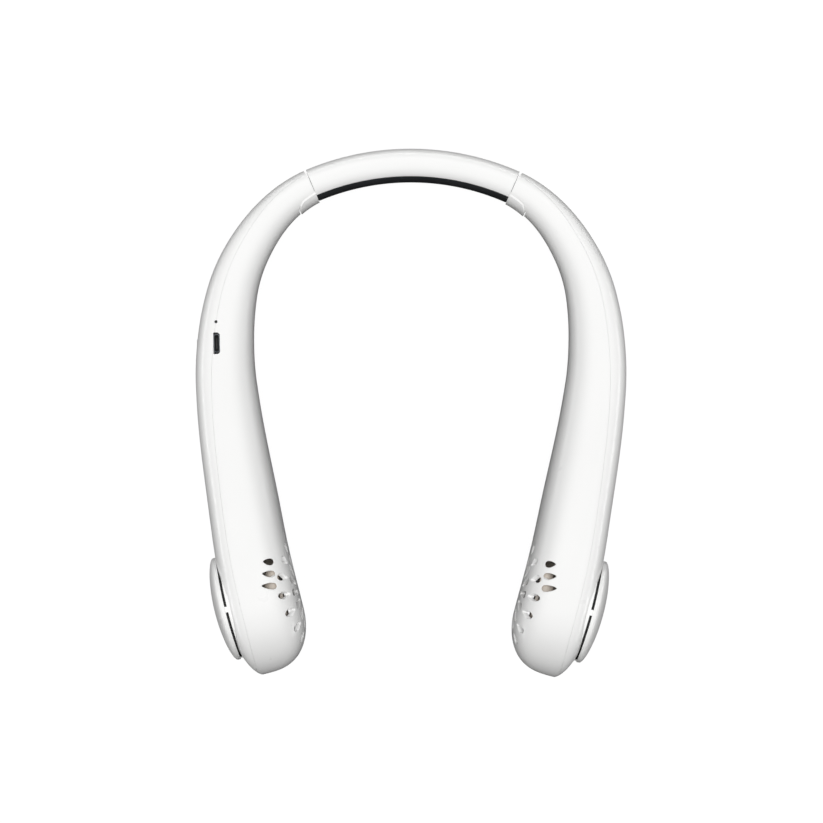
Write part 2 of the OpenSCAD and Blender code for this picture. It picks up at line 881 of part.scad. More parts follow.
module motor_mount() {
    hub_r = stator_d / 2;
    color(dark_rubber)
        at_fan(0)
            difference() {
                union() {
                    translate([0, 0, mount_n - mount_t])
                        linear_extrude(mount_t) {
                            difference() {
                                circle(impeller_d / 2);
                                circle(intake_r);
                            }
                            circle(hub_r);
                            for (turn = boss_turns)
                                rotate(turn)
                                    translate([hub_r / 2, -mount_t / 2])
                                        square([boss_ring_r - hub_r / 2, mount_t]);
                            for (turn = boss_turns)
                                rotate(turn)
                                    translate([boss_ring_r, 0])
                                        circle(boss_r);
                        }
                    translate([0, 0, tube_bottom_n])
                        cylinder(r = tube_r, h = mount_n - tube_bottom_n);
                }
                translate([0, 0, tube_bottom_n - over])
                    cylinder(r = bearing_r, h = mount_n - tube_bottom_n - mount_t / 2 + over);
                mount_screw_shanks(fit / 2);
            }
}

module mount_screw_shanks(extra) {
    for (turn = boss_turns)
        rotate(turn)
            translate([boss_ring_r, 0, mount_n - mount_t])
                cylinder(r = mount_screw_r + extra, h = mount_t + mount_screw_bite, $fn = 24);
}

module mount_screws() {
    color(steel)
        at_fan(0) {
            mount_screw_shanks(0);
            for (turn = boss_turns)
                rotate(turn)
                    translate([boss_ring_r, 0, mount_n - mount_t - mount_screw_r])
                        difference() {
                            cylinder(r = 2 * mount_screw_r, h = mount_screw_r, $fn = 24);
                            for (slot_turn = [0, 90])
                                rotate(slot_turn)
                                    cube([3 * mount_screw_r, mount_screw_r / 2, mount_screw_r],
                                        center = true);
                        }
        }
}

module shaft_bearings() {
    color("#b08d57")
        at_fan(0)
            for (z = [tube_bottom_n, mount_n - mount_t / 2 - bearing_h])
                translate([0, 0, z])
                    difference() {
                        cylinder(r = bearing_r, h = bearing_h);
                        translate([0, 0, -over])
                            cylinder(d = shaft_d + 2 * shaft_clearance, h = bearing_h + 2 * over);
                    }
}

// Laminated core with nine teeth, pressed on the mount's tube
module stator() {
    color("#b87333")
        at_fan(0)
            translate([0, 0, stator_bottom_n])
                linear_extrude(stator_h)
                    difference() {
                        union() {
                            circle(stator_d / 4 + tube_r / 2);
                            for (k = [0:stator_teeth - 1])
                                rotate(360 * k / stator_teeth) {
                                    translate([0, -stator_tooth_w / 2])
                                        square([stator_d / 2 - stator_tooth_w / 2, stator_tooth_w]);
                                    intersection() {
                                        difference() {
                                            circle(stator_d / 2);
                                            circle(stator_d / 2 - stator_tooth_w);
                                        }
                                        translate([0, -stator_tooth_w])
                                            square([stator_d, 2 * stator_tooth_w]);
                                    }
                                }
                        }
                        circle(tube_r);
                    }
}

module magnet_ring() {
    color("#3a3d40")
        at_fan(0)
            translate([0, 0, stator_bottom_n])
                linear_extrude(stator_h)
                    difference() {
                        circle(cup_r);
                        circle(stator_d / 2 + magnet_gap);
                    }
}

module motor_shaft() {
    color(steel)
        at_fan(0)
            translate([0, 0, shaft_bottom_n])
                cylinder(d = shaft_d, h = mount_n - mount_t / 2 - slip - shaft_bottom_n);
}

module impeller() {
    top = impeller_bottom_n + impeller_h;
    color(taupe)
        at_fan(0)
            difference() {
                union() {
                    translate([0, 0, impeller_bottom_n])
                        cylinder(d = impeller_d, h = plate_t);
                    translate([0, 0, impeller_bottom_n])
                        cylinder(r = cup_r + plate_t, h = stator_bottom_n + stator_h
                            - impeller_bottom_n);
                    translate([0, 0, top - plate_t])
                        linear_extrude(plate_t)
                            difference() {
                                circle(d = impeller_d);
                                circle(d = impeller_d * rim_share);
                            }
                    for (k = [0:blade_count - 1])
                        rotate(360 * k / blade_count)
                            translate([0, 0, impeller_bottom_n])
                                linear_extrude(impeller_h)
                                    blade_outline();
                }
                translate([0, 0, cup_floor_n])
                    cylinder(r = cup_r, h = impeller_h);
                translate([0, 0, shaft_bottom_n])
                    cylinder(d = shaft_d, h = impeller_h);
                translate([0, 0, impeller_bottom_n - over])
                    difference() {
                        cylinder(r = cup_r, h = cup_floor_n - cup_floor_t - impeller_bottom_n
                            + over);
                        cylinder(r = tube_r, h = impeller_h);
                    }
            }
}

// A blade as a curved strip that leans back from the hub to the rim
module blade_outline() {
    from = cup_r + plate_t / 2;
    to = impeller_d / 2 - plate_t / 4;
    line = [for (k = [0:blade_steps]) let (share = k / blade_steps, r = mix(from, to, share),
        turn = blade_sweep * pow(share, 2)) [r, turn]];
    polygon(concat(
        [for (p = line) [p[0] * cos(p[1]), p[0] * sin(p[1]) + blade_t / 2]],
        [for (k = [blade_steps:-1:0]) [line[k][0] * cos(line[k][1]),
            line[k][0] * sin(line[k][1]) - blade_t / 2]]));
}

// Electrics of the left arm
module board_plate(extra) {
    at_line(board_s, board_y, board_bottom_z)
        translate([-board_len / 2 - extra, -board_t / 2 - extra, -extra])
            cube([board_len + 2 * extra, board_t + 2 * extra, board_h + 2 * extra]);
}

module circuit_board() {
    color("#1f5a3a")
        board_plate(0);
}

// Parts on the board's neck side: a chip, a coil and two capacitors
module board_parts() {
    color("#2a2a2a")
        at_line(board_s, board_y + board_t / 2, board_bottom_z + board_h / 2) {
            translate([-chip_w, 0, 0])
                cube([chip_w, chip_t, chip_w]);
            translate([coil_r + parts_gap, 0, -coil_r])
                rotate([-90, 0, 0])
                    cylinder(r = coil_r, h = coil_h);
            for (z = [parts_gap, -parts_gap - capacitor_h])
                translate([-chip_w - parts_gap - capacitor_w, 0, z])
                    cube([capacitor_w, chip_t, capacitor_h]);
        }
}

function skin_top_z(s) = (2 - flat_share) * full_half_h(s);
function socket_top_z() = skin_top_z(socket_s) - socket_recess;

// A metal shell round a tongue, open upward
module charging_socket() {
    color(steel)
        at_line(board_s, 0, socket_top_z() - socket_h)
            translate(socket_at) {
                difference() {
                    translate([-socket_len / 2, -socket_w / 2])
                        cube([socket_len, socket_w, socket_h]);
                    translate([socket_skin - socket_len / 2, socket_skin - socket_w / 2,
                        socket_skin])
                        cube([socket_len - 2 * socket_skin, socket_w - 2 * socket_skin,
                            socket_h]);
                }
                translate([-socket_len / 4, -socket_skin, 0])
                    cube([socket_len / 2, 2 * socket_skin, socket_h - socket_recess]);
            }
}

// A light pipe that stands on the board's edge and ends in the hole
module status_light() {
    foot_z = board_top_z - light_foot;
    color("#dfe8f0") {
        at_line(light_s, parting_y(light_s), foot_z)
            cylinder(d = light_d, h = skin_top_z(light_s) - socket_recess / 2 - foot_z, $fn = 24);
        light_foot_block(0);
    }
}

// The foot of the light pipe, or its space in the ribs
module light_foot_block(extra) {
    at_line(board_s, 0, board_top_z - light_foot - extra)
        translate([light_at[0] - light_d - extra, light_at[1] - extra, 0])
            cube([2 * (light_d + extra), board_y - board_t / 2 - light_at[1] + extra,
                light_foot + 2 * extra]);
}

// Places its children on the power button's axis, with z outward from the outer face
module at_button() {
    at_line(button_s, -outer_reach(button_s), button_z)
        rotate([90, 0, 0])
            children();
}

module button_switch() {
    color("#2a2a2a")
        at_line(button_s, board_y - board_t / 2, button_z)
            rotate([90, 0, 0]) {
                translate([-switch_w / 2, -switch_w / 2])
                    cube([switch_w, switch_w, switch_h]);
                cylinder(r = switch_w / 4, h = switch_h + switch_plunger, $fn = 24);
            }
}

module power_button() {
    reach = board_y - board_t / 2 + outer_reach(button_s) - switch_h - switch_plunger;
    stem_h = reach - button_travel - button_stop - button_recess;
    color(white)
        at_button()
            translate([0, 0, -button_recess]) {
                translate([0, 0, -button_cap_h])
                    cylinder(r = button_d / 2, h = button_cap_h);
                translate([0, 0, -button_cap_h - button_flange])
                    cylinder(r = button_d / 2 + button_flange / 2, h = button_flange);
                translate([0, 0, -stem_h])
                    cylinder(r = switch_w / 3, h = stem_h);
            }
}

in_middle() band_shell();
in_middle() neck_pad();
in_middle() band_lead();
on_side(true) hinge_tongue();  // left_hinge_tongue
on_side(true) hinge_bracket();  // left_hinge_bracket
on_side(true) hinge_pin();  // left_hinge_pin
on_side(true) hinge_screws();  // left_hinge_screws
on_side(true) outer_shell(true);  // left_outer_shell
on_side(true) inner_shell(true);  // left_inner_shell
on_side(true) battery();  // left_battery
on_side(true) motor_lead();  // left_motor_lead
on_side(true) intake_cover();  // left_intake_cover
on_side(true) motor_mount();  // left_motor_mount
on_side(true) mount_screws();  // left_mount_screws
on_side(true) shaft_bearings();  // left_shaft_bearings
on_side(true) stator();  // left_stator
on_side(true) magnet_ring();  // left_magnet_ring
on_side(true) motor_shaft();  // left_motor_shaft
on_side(true) impeller();  // left_impeller
on_side(false) hinge_tongue();  // right_hinge_tongue
on_side(false) hinge_bracket();  // right_hinge_bracket
on_side(false) hinge_pin();  // right_hinge_pin
on_side(false) hinge_screws();  // right_hinge_screws
on_side(false) outer_shell(false);  // right_outer_shell
on_side(false) inner_shell(false);  // right_inner_shell
on_side(false) battery();  // right_battery
on_side(false) motor_lead();  // right_motor_lead
on_side(false) intake_cover();  // right_intake_cover
on_side(false) motor_mount();  // right_motor_mount
on_side(false) mount_screws();  // right_mount_screws
on_side(false) shaft_bearings();  // right_shaft_bearings
on_side(false) stator();  // right_stator
on_side(false) magnet_ring();  // right_magnet_ring
on_side(false) motor_shaft();  // right_motor_shaft
on_side(false) impeller();  // right_impeller
on_side(true) circuit_board();
on_side(true) board_parts();
on_side(true) charging_socket();
on_side(true) status_light();
on_side(true) button_switch();
on_side(true) power_button();
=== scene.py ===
# %% [markdown]
# # An electric neck fan, dressed in Blender
# The fan lies round the neck: a band behind the neck, two hinged arms that swell into heads,
# and a blower in each head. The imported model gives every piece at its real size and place.
# Here the visible shells are built again as smooth meshes from the same sizes, each piece
# gets the finish of its real material, and the object is lit on a pale floor from above.

import math

import bmesh
import bpy
import numpy as np
from mathutils import Matrix, Vector
from mathutils.bvhtree import BVHTree
from mathutils.interpolate import poly_3d_calc


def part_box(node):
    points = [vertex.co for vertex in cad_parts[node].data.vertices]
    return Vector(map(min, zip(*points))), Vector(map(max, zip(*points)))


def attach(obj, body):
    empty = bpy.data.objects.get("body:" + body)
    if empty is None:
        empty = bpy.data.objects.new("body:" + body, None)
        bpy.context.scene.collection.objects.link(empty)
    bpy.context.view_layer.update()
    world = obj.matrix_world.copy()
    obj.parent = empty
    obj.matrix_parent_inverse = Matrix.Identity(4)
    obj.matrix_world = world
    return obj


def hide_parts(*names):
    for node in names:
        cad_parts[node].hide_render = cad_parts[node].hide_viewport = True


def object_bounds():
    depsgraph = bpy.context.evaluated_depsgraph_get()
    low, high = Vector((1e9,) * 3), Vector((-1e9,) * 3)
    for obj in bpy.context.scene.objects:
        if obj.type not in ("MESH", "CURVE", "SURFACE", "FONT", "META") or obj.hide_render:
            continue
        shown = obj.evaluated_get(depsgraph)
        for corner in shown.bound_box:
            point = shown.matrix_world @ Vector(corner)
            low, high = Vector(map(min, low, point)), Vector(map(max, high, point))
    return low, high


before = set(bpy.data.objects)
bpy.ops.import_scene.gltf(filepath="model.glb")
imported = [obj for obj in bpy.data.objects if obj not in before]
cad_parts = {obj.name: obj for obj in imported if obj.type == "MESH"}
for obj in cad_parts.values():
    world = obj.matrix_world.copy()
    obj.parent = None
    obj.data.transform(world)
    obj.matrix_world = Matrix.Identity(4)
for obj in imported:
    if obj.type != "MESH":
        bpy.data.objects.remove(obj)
cad_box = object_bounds()

# %% [markdown]
# Blender works in metres and the sizes of a small product are easier to read in millimetres.
# So every length below is in millimetres, and one function turns points into metres when a
# mesh is made. Colours are written as the sRGB hex values that a paint chart would give, and
# one function turns them into the linear values that shaders need.

# %% Units and colours
MM = 0.001
full_turn = 2 * math.pi
quarter = math.radians(90)


def linear(hex_colour):
    """An sRGB hex colour as the linear RGBA that a shader socket takes."""
    parts = [int(hex_colour[i:i + 2], 16) / 255 for i in (1, 3, 5)]
    return [c / 12.92 if c <= 0.04045 else ((c + 0.055) / 1.055) ** 2.4 for c in parts] + [1]


def per_size(millimetres):
    """The scale of a texture whose features are this large."""
    return 1 / (millimetres * MM)


print("linear value of the white:", [round(c, 3) for c in linear("#f3f3f2")])

# %% [markdown]
# ## The camera
# The photograph looks straight down on the fan, which lies flat with its band at the top. The
# flanks hardly show, so it was taken from far away with a long lens, and so is this one. The
# picture was turned by about half a degree, so the camera is turned as much.

# %% Camera
photo_px = 823
photo_mm_per_px = 0.4176
photo_middle_px = (410.7, 411.8)
middle_plane_z = 20
camera_height = 4000
camera_sight = 10000
camera_roll = math.radians(0.5)
sensor_mm = 36

half_px = photo_px / 2
camera_x = (half_px - photo_middle_px[0]) * photo_mm_per_px
camera_y = (photo_middle_px[1] - half_px) * photo_mm_per_px
camera_data = bpy.data.cameras.new("camera")
camera_data.sensor_width = sensor_mm
camera_data.lens = sensor_mm * camera_height / (photo_px * photo_mm_per_px)
camera_data.clip_end = camera_sight * MM
camera = bpy.data.objects.new("camera", camera_data)
camera.location = (camera_x * MM, camera_y * MM, (middle_plane_z + camera_height) * MM)
camera.rotation_euler = (0, 0, camera_roll)
bpy.context.scene.collection.objects.link(camera)
bpy.context.scene.camera = camera
print("lens:", round(camera_data.lens, 1), "mm")

# %% [markdown]
# ## Materials
# Each finish starts from what the real one is. A small function adds a node with its settings
# and links, so that a material reads as a list of what it is made of. Uniform values sit on
# the shader's own sockets, and only what varies over the surface goes through nodes. All
# patterns use object coordinates, because every piece is modelled at its real size and place.

# %% Node helpers
shade_places = (0.3, 0.7)
cloud_detail = 3
relief_detail = 2


def add_node(tree, kind, settings=None, links=None):
    """Adds a node, sets its properties and input values, and links its inputs."""
    node = tree.nodes.new(kind)
    for name, value in (settings or {}).items():
        if name in node.inputs:
            node.inputs[name].default_value = value
        else:
            setattr(node, name, value)
    for name, socket in (links or {}).items():
        tree.links.new(socket, node.inputs[name])
    return node


def finish(name, shades, gloss, relief, stretch=(1, 1, 1), **settings):
    """A material whose colour, roughness and relief wander. Each comes with its grain in mm."""
    material = bpy.data.materials.new(name)
    material.use_nodes = True
    tree = material.node_tree
    tree.nodes.clear()
    spots = add_node(tree, "ShaderNodeTexCoord")
    spread = add_node(tree, "ShaderNodeMapping", {"Scale": stretch},
                      {"Vector": spots.outputs["Object"]})
    grains = [add_node(tree, "ShaderNodeTexNoise", {"Scale": per_size(size), "Detail": detail},
                       {"Vector": spread.outputs["Vector"]}).outputs["Fac"]
              for size, detail in ((shades[-1], cloud_detail), (gloss[-1], cloud_detail),
                                   (relief[-1], relief_detail))]
    ramp = add_node(tree, "ShaderNodeValToRGB", links={"Fac": grains[0]})
    for element, place, colour in zip(ramp.color_ramp.elements, shade_places, shades):
        element.position = place
        element.color = linear(colour)
    sheen = add_node(tree, "ShaderNodeMapRange", {"To Min": gloss[0], "To Max": gloss[1]},
                     {"Value": grains[1]})
    bump = add_node(tree, "ShaderNodeBump", {"Distance": relief[0] * MM}, {"Height": grains[2]})
    shader = add_node(tree, "ShaderNodeBsdfPrincipled", settings,
                      {"Base Color": ramp.outputs["Color"], "Roughness": sheen.outputs["Result"],
                       "Normal": bump.outputs["Normal"]})
    add_node(tree, "ShaderNodeOutputMaterial", links={"Surface": shader.outputs["BSDF"]})
    return material


# %% [markdown]
# ### White ABS
# The shells, the covers, the hinge patches and the button are injection-moulded ABS from a
# polished mould: a clean, very slightly warm white with a clear gloss. A real moulding has a
# faint orange peel and a gloss that wanders a little, which keeps highlights from looking drawn.

# %% White ABS
# The peel is a few micrometres high and about two millimetres wide
abs_white = finish("gloss_moulded_white_abs", ("#f1f1f0", "#f3f3f2", 45), (0.26, 0.31, 14),
                   (0.002, 2.2), IOR=1.53)
print("finish of the shells:", abs_white.name)

# %% [markdown]
# ### Silicone
# The pad behind the neck is dark grey silicone rubber, moulded in an eroded tool, so it is
# matt and even. Its fine grain breaks a highlight up instead of showing a clear reflection.

# %% Silicone
# Spark-erosion grain of a third of a millimetre, about as coarse as the real one
silicone = finish("matt_moulded_dark_silicone", ("#222426", "#2a2c2e", 12), (0.48, 0.62, 4),
                  (0.015, 0.35), IOR=1.41)
print("finish of the pad:", silicone.name)

# %% [markdown]
# ### The plastics inside
# The blower wheel is moulded in a taupe polypropylene, which is a little waxy. The motor mount,
# the switch and the chips are black glass-filled nylon or epoxy with a dry, mottled surface, and
# the charging socket's body gets the same black. The same black is also used as painted shade:
# a folded ring behind each intake slot and a strip in each hinge seam.

# %% Plastics inside
taupe = finish("moulded_taupe_polypropylene", ("#bdb3a8", "#c6bcb1", 8), (0.33, 0.45, 3),
               (0.004, 0.8), IOR=1.49)
# Glass fibres print through as short flecks along the flow
black_nylon = finish("glass_filled_black_nylon", ("#161617", "#222223", 5), (0.42, 0.6, 1.5),
                     (0.006, 0.4), stretch=(1, 0.2, 1), **{"IOR": 1.53, "Specular IOR Level": 0.25})
print("finishes inside:", taupe.name, "and", black_nylon.name)

# %% [markdown]
# ### Metals
# The hinge pin and the motor shafts are ground steel: rings round the axis give a streaky
# highlight. Brackets and screws are zinc-plated, with a faint bluish cloud. The socket's sleeve
# is bright nickel, painted dark here for the shade in its recess and the dark that it reflects.
# The bearings are sintered bronze, full of tiny oil pores. The stator is wound with enamelled
# copper, and a ferrite magnet is a dull dark grey. Metals keep the default IOR.

# %% Metals
ground_steel = finish("ground_steel", ("#b2b5b9", "#c2c5c9", 4), (0.16, 0.36, 0.6),
                      (0.003, 0.6), stretch=(1, 1, 12), Metallic=1.0)
zinc_plate = finish("zinc_plated_steel", ("#b9c0c8", "#cdd0d1", 3), (0.28, 0.46, 1.2),
                    (0.002, 0.8), Metallic=1.0)
# The sleeve is painted dark: its bright nickel looks this dark from the shade of its recess
nickel_painted_dark = finish("nickel_plated_steel_painted_dark", ("#44474b", "#54575b", 3), (0.28, 0.42, 1.2),
                     (0.002, 0.8), Metallic=1.0)
# Pores a quarter of a millimetre apart, drawn coarser than they are
bronze = finish("sintered_bronze", ("#8e6230", "#b98a4e", 0.25), (0.38, 0.52, 1),
                (0.015, 0.25), Metallic=1.0)
# Turns of 0.2 mm wire, drawn as bands along the axis of the winding
copper = finish("enamelled_copper", ("#9c5a2c", "#cc8350", 0.2), (0.24, 0.4, 1),
                (0.04, 0.2), stretch=(0.1, 0.1, 1), Metallic=1.0)
ferrite = finish("pressed_ferrite", ("#333538", "#43464a", 1), (0.42, 0.58, 2),
                 (0.008, 0.3), Metallic=0.4)
print("materials so far:", len(bpy.data.materials))

# %% [markdown]
# ### The electrics' finishes
# A lithium cell is a pouch in blue-grey shrink film, glossy with soft wrinkles. A lead's
# insulation is soft PVC. The board is glass-epoxy under green solder mask, where the weave of
# the glass shows faintly. The light pipe is smoked polycarbonate, so that it looks black until
# it is lit.

# %% Electrics
shrink_film = finish("shrink_film_on_cell", ("#97abbd", "#a8bccb", 14), (0.16, 0.3, 5),
                     (0.1, 6), stretch=(1, 1, 0.3), IOR=1.54)
pvc = finish("pvc_lead_insulation", ("#242629", "#2b2d31", 3), (0.36, 0.5, 2),
             (0.008, 0.6), IOR=1.53)
# The glass cloth's threads lie about half a millimetre apart
solder_mask = finish("solder_mask_on_glass_epoxy", ("#1b5235", "#246544", 5), (0.24, 0.36, 3),
                     (0.008, 0.5), IOR=1.55)
smoked_lens = finish("smoked_polycarbonate", ("#0d0e10", "#151618", 1), (0.08, 0.2, 1),
                     (0.001, 1), **{"IOR": 1.585, "Transmission Weight": 0.3,
                                    "Specular IOR Level": 0.2})
print("materials:", len(bpy.data.materials))

# %% [markdown]
# ## The arm's line and sections
# An arm is a swept shape. A line runs down its middle through four bends and a straight, and a
# section of rounded-square outline grows along it. Each section is a superellipse: its power
# says how square it is, and it reaches further toward one side than the other. The head closes
# at the tip as a quarter ellipse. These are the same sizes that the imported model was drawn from.

# %% Driving sizes
band_r = 105.6
seam_angle = 23.4
band_w = 14.1
band_h = 20
pad_depth = 2.5
pad_h = 16
head_w = 31.5
head_h = 50
head_tilt = 14.5
tip_len = 30.3
wall = 1.7
parting_depth = 7
parting_gap = 0.05
bend_lens = [13.3, 46.8, 39.7, 59.4, 30.6]
bend_turns = [12.2, 45.2, 18.8, 0]
bend_turns.append(90 + head_tilt - seam_angle - sum(bend_turns))
bend_starts = [sum(bend_lens[:i]) for i in range(len(bend_lens))]
arm_len = sum(bend_lens)

outer_reach_shares = [0, -0.08, 0.32, 0.765, 0.915, 1]
inner_reach_shares = [0.03, 0.55, 0.72, 0.71, 0.885, 1]
height_shares = [0, 0.12, 0.36, 0.62, 0.87, 1]
parting_shares = [0.27, 0.75, 1, 0.94, 0.87, 0.94]
crest_share = 0.58
flat_share = 0.03
outer_power_share = (2.8, 3.8)
inner_power_share = (2.4, 2.9)
tip_start_share = 0.26
tip_outer_draw_share = 0.27
tip_inner_draw_share = 0.69
tip_outer_power_share = 0.65
tip_inner_power_share = 0.36
path_count = 2000

band_apex_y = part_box("band_shell")[1].y / MM
middle_y = band_r + band_w / 2 - band_apex_y
print("arm length:", round(arm_len, 1), "mm, middle of the part:", round(middle_y, 2), "mm")

# %% The line through an arm


def heading(s):
    """Degrees that the line has turned at s, from the seam's own angle."""
    turned = sum(turn * np.clip((s - start) / length, 0, 1)
                 for start, length, turn in zip(bend_starts, bend_lens, bend_turns))
    return np.radians(seam_angle + turned)


def along(s):
    return np.array([-np.cos(heading(s)), -np.sin(heading(s))])


def inward(s):
    return np.array([np.sin(heading(s)), -np.cos(heading(s))])


path_s = np.linspace(0, arm_len, path_count + 1)
path_steps = along((path_s[1:] + path_s[:-1]) / 2) * arm_len / path_count
seam_turn = math.radians(seam_angle)
seam_point = band_r * np.array([-math.sin(seam_turn), math.cos(seam_turn)]) - [0, middle_y]
path = seam_point[:, None] + np.concatenate([[[0], [0]], np.cumsum(path_steps, axis=1)], axis=1)


def line_at(s):
    """The point of the line at s, straight on beyond both ends."""
    inside = min(max(s, 0), arm_len)
    point = np.array([np.interp(inside, path_s, path[0]), np.interp(inside, path_s, path[1])])
    return point + (s - inside) * along(inside)


print("fan axis at", line_at(arm_len).round(2))

# %% The sections of an arm


def mix(a, b, share):
    return a + (b - a) * share


def smooth_share(table, x):
    """A smooth curve through equally spaced shares."""
    last = len(table) - 1
    k = min(max(x, 0), 1) * last
    i = min(last - 1, int(k))
    f = k - i
    a, b, c, d = table[max(0, i - 1)], table[i], table[i + 1], table[min(last, i + 2)]
    return b + f * ((c - a) + f * ((2 * a - 5 * b + 4 * c - d) + f * (3 * (b - c) + d - a))) / 2


def reach(s, inset, shares, draw, power):
    """How far a section reaches to one side of the line."""
    start = tip_start_share * tip_len
    v = min(max((s - arm_len - start) / (tip_len - inset - start), 0), 1)
    drawn = draw * head_w * (1 - (1 - v * v) ** power)
    return mix(band_w, head_w, smooth_share(shares, s / arm_len)) / 2 - inset - drawn


def outer_reach(s, inset=0):
    return reach(s, inset, outer_reach_shares, tip_outer_draw_share, tip_outer_power_share)


def inner_reach(s, inset=0):
    return reach(s, inset, inner_reach_shares, tip_inner_draw_share, tip_inner_power_share)


def full_half_h(s):
    return mix(band_h, head_h, smooth_share(height_shares, s / arm_len)) / (2 - flat_share)


def mid_z(s):
    return full_half_h(s) * (1 - flat_share)


def parting_y(s):
    width = mix(band_w, head_w, smooth_share(outer_reach_shares, s / arm_len))
    return parting_depth * smooth_share(parting_shares, s / arm_len) - width / 2


def section(out_reach, in_reach, half, middle, floor_z, grown, turns):
    """Points of a section: y toward the neck, and z up, at the given directions."""
    c, n = np.cos(turns), np.sin(turns)
    crest = in_reach - crest_share * (in_reach + out_reach)
    power = np.where(c > 0, mix(*outer_power_share, grown), mix(*inner_power_share, grown))
    spread = (np.abs(c) ** power + np.abs(n) ** power) ** (-1 / power)
    side = np.where(c > 0, crest + out_reach, in_reach - crest)
    return crest - side * spread * c, np.maximum(floor_z, middle + half * spread * n)


dense_count = 721
dense_turns = np.linspace(0, full_turn, dense_count)


def evenly(line, count, endpoint=True):
    """Two rows of coordinates walked at equal steps, as count points."""
    walked = np.concatenate([[0], np.cumsum(np.hypot(*np.diff(line)))])
    stops = np.linspace(0, walked[-1], count, endpoint=endpoint)
    return np.column_stack([np.interp(stops, walked, row) for row in line])


def across_arm(s, points):
    """Points of y and z, set up across the line at s."""
    y, z = np.transpose(points)
    point, way = line_at(s), inward(s)
    return np.column_stack([point[0] + y * way[0], point[1] + y * way[1], z])


def arm_ring(s, inset, count):
    """One ring of the arm's skin, or of its cavity where inset is the wall."""
    close = math.sqrt(max(0, 1 - max(0, (s - arm_len) / (tip_len - inset)) ** 2))
    values = (outer_reach(s, inset), inner_reach(s, inset), (full_half_h(s) - inset) * close,
              mid_z(s), inset, min(max(s / arm_len, 0), 1))
    return across_arm(s, evenly(section(*values, dense_turns), count, False))


print("section at the fan:", round(outer_reach(arm_len), 2), round(inner_reach(arm_len), 2))

# %% [markdown]
# ## Mesh tools
# Most pieces are lofts: rings of points joined by quads. Holes and seams are carved with the
# Boolean modifier, whose Manifold solver is fast and keeps closed solids closed. A cut through a
# glossy skin would spoil its shading, because the new faces beside the cut are long and thin. So
# after the cuts each corner that lies on the skin takes back the normal that the uncut skin had.

# %% Lofts


def loft(rings, pole=False):
    """Points and faces of a solid skinned over rings. The last ring may close in a pole."""
    count = len(rings[0])
    last = len(rings) - 1
    faces = [(i * count + j, i * count + (j + 1) % count,
              (i + 1) * count + (j + 1) % count, (i + 1) * count + j)
             for i in range(last) for j in range(count)]
    faces.append(tuple(range(count))[::-1])
    points = np.concatenate(rings)
    top = [last * count + j for j in range(count)]
    if pole:
        points = np.vstack([points, np.mean(rings[-1], axis=0)])
        faces += [(top[j], top[(j + 1) % count], len(points) - 1) for j in range(count)]
    else:
        faces.append(tuple(top))
    return points, faces


def joined(parts):
    """Several sets of points and faces as one set."""
    points, faces, start = [], [], 0
    for part_points, part_faces in parts:
        points.append(part_points)
        faces += [tuple(start + i for i in face) for face in part_faces]
        start += len(part_points)
    return np.concatenate(points), faces


# %% Pieces and cuts


def make_piece(name, shape):
    """A mesh object from points in millimetres and faces, with its faces outward."""
    points, faces = shape
    mesh = bpy.data.meshes.new(name)
    mesh.from_pydata((np.asarray(points) * MM).tolist(), [], faces)
    tidy = bmesh.new()
    tidy.from_mesh(mesh)
    bmesh.ops.recalc_face_normals(tidy, faces=tidy.faces)
    tidy.to_mesh(mesh)
    tidy.free()
    piece = bpy.data.objects.new(name, mesh)
    bpy.context.scene.collection.objects.link(piece)
    return piece


def carve(piece, tool, operation="DIFFERENCE"):
    """Cuts the tool's solid from the piece, or joins or intersects them."""
    cut = piece.modifiers.new("cut", "BOOLEAN")
    cut.operation = operation
    cut.object = tool
    cut.solver = "MANIFOLD"
    bpy.context.view_layer.update()
    graph = bpy.context.evaluated_depsgraph_get()
    mesh = bpy.data.meshes.new_from_object(piece.evaluated_get(graph))
    piece.modifiers.clear()
    piece.data = mesh
    bpy.data.objects.remove(tool)
    return piece


def drop_flat_pairs(piece):
    """Removes pairs of faces that lie back to back and enclose nothing."""
    mesh = bmesh.new()
    mesh.from_mesh(piece.data)
    shared = {}
    for face in mesh.faces:
        shared.setdefault(frozenset(face.verts), []).append(face)
    pairs = [face for faces in shared.values() if len(faces) > 1 for face in faces]
    bmesh.ops.delete(mesh, geom=pairs, context="FACES")
    mesh.to_mesh(piece.data)
    mesh.free()
    return piece


# %% Simple solids


def circle(radius, height, count):
    """Points round the z axis, at one radius or at a radius for each point."""
    turns = np.linspace(0, full_turn, count, endpoint=False)
    return np.column_stack([radius * np.cos(turns), radius * np.sin(turns),
                            np.full(count, height)])


def placed(shape, matrix):
    """Points and faces moved into another frame, which is in millimetres."""
    points, faces = shape
    points = np.asarray(points)
    return points @ np.array(matrix.to_3x3()).T + np.array(matrix.translation), faces


def prism(outline, low, high):
    """An outline of x and y pulled up from one height to another."""
    return loft([np.column_stack([outline, np.full(len(outline), z)]) for z in (low, high)])


def block(low, high):
    """A box between two corners."""
    corners = [[low[0], low[1]], [high[0], low[1]], [high[0], high[1]], [low[0], high[1]]]
    return prism(corners, low[2], high[2])


def round_bar(radius, low, high, count=64):
    """A cylinder along z."""
    return loft([circle(radius, z, count) for z in (low, high)])


def lathe(profile, count=144):
    """A solid of revolution from points of radius and height, which start and end on the axis."""
    rings = [circle(r, z, count) for r, z in profile[1:-1]]
    points, faces = loft(rings)
    faces = faces[:-2]
    start, end = len(points), len(points) + 1
    points = np.vstack([points, [0, 0, profile[0][1]], [0, 0, profile[-1][1]]])
    last = (len(rings) - 1) * count
    faces += [((j + 1) % count, j, start) for j in range(count)]
    faces += [(last + j, last + (j + 1) % count, end) for j in range(count)]
    return points, faces


print("faces of a round bar:", len(round_bar(1, 0, 1)[1]))

# %% Shading after cuts
sharp_angle = math.radians(32)
print("edges stay sharp from", round(math.degrees(sharp_angle)), "degrees")


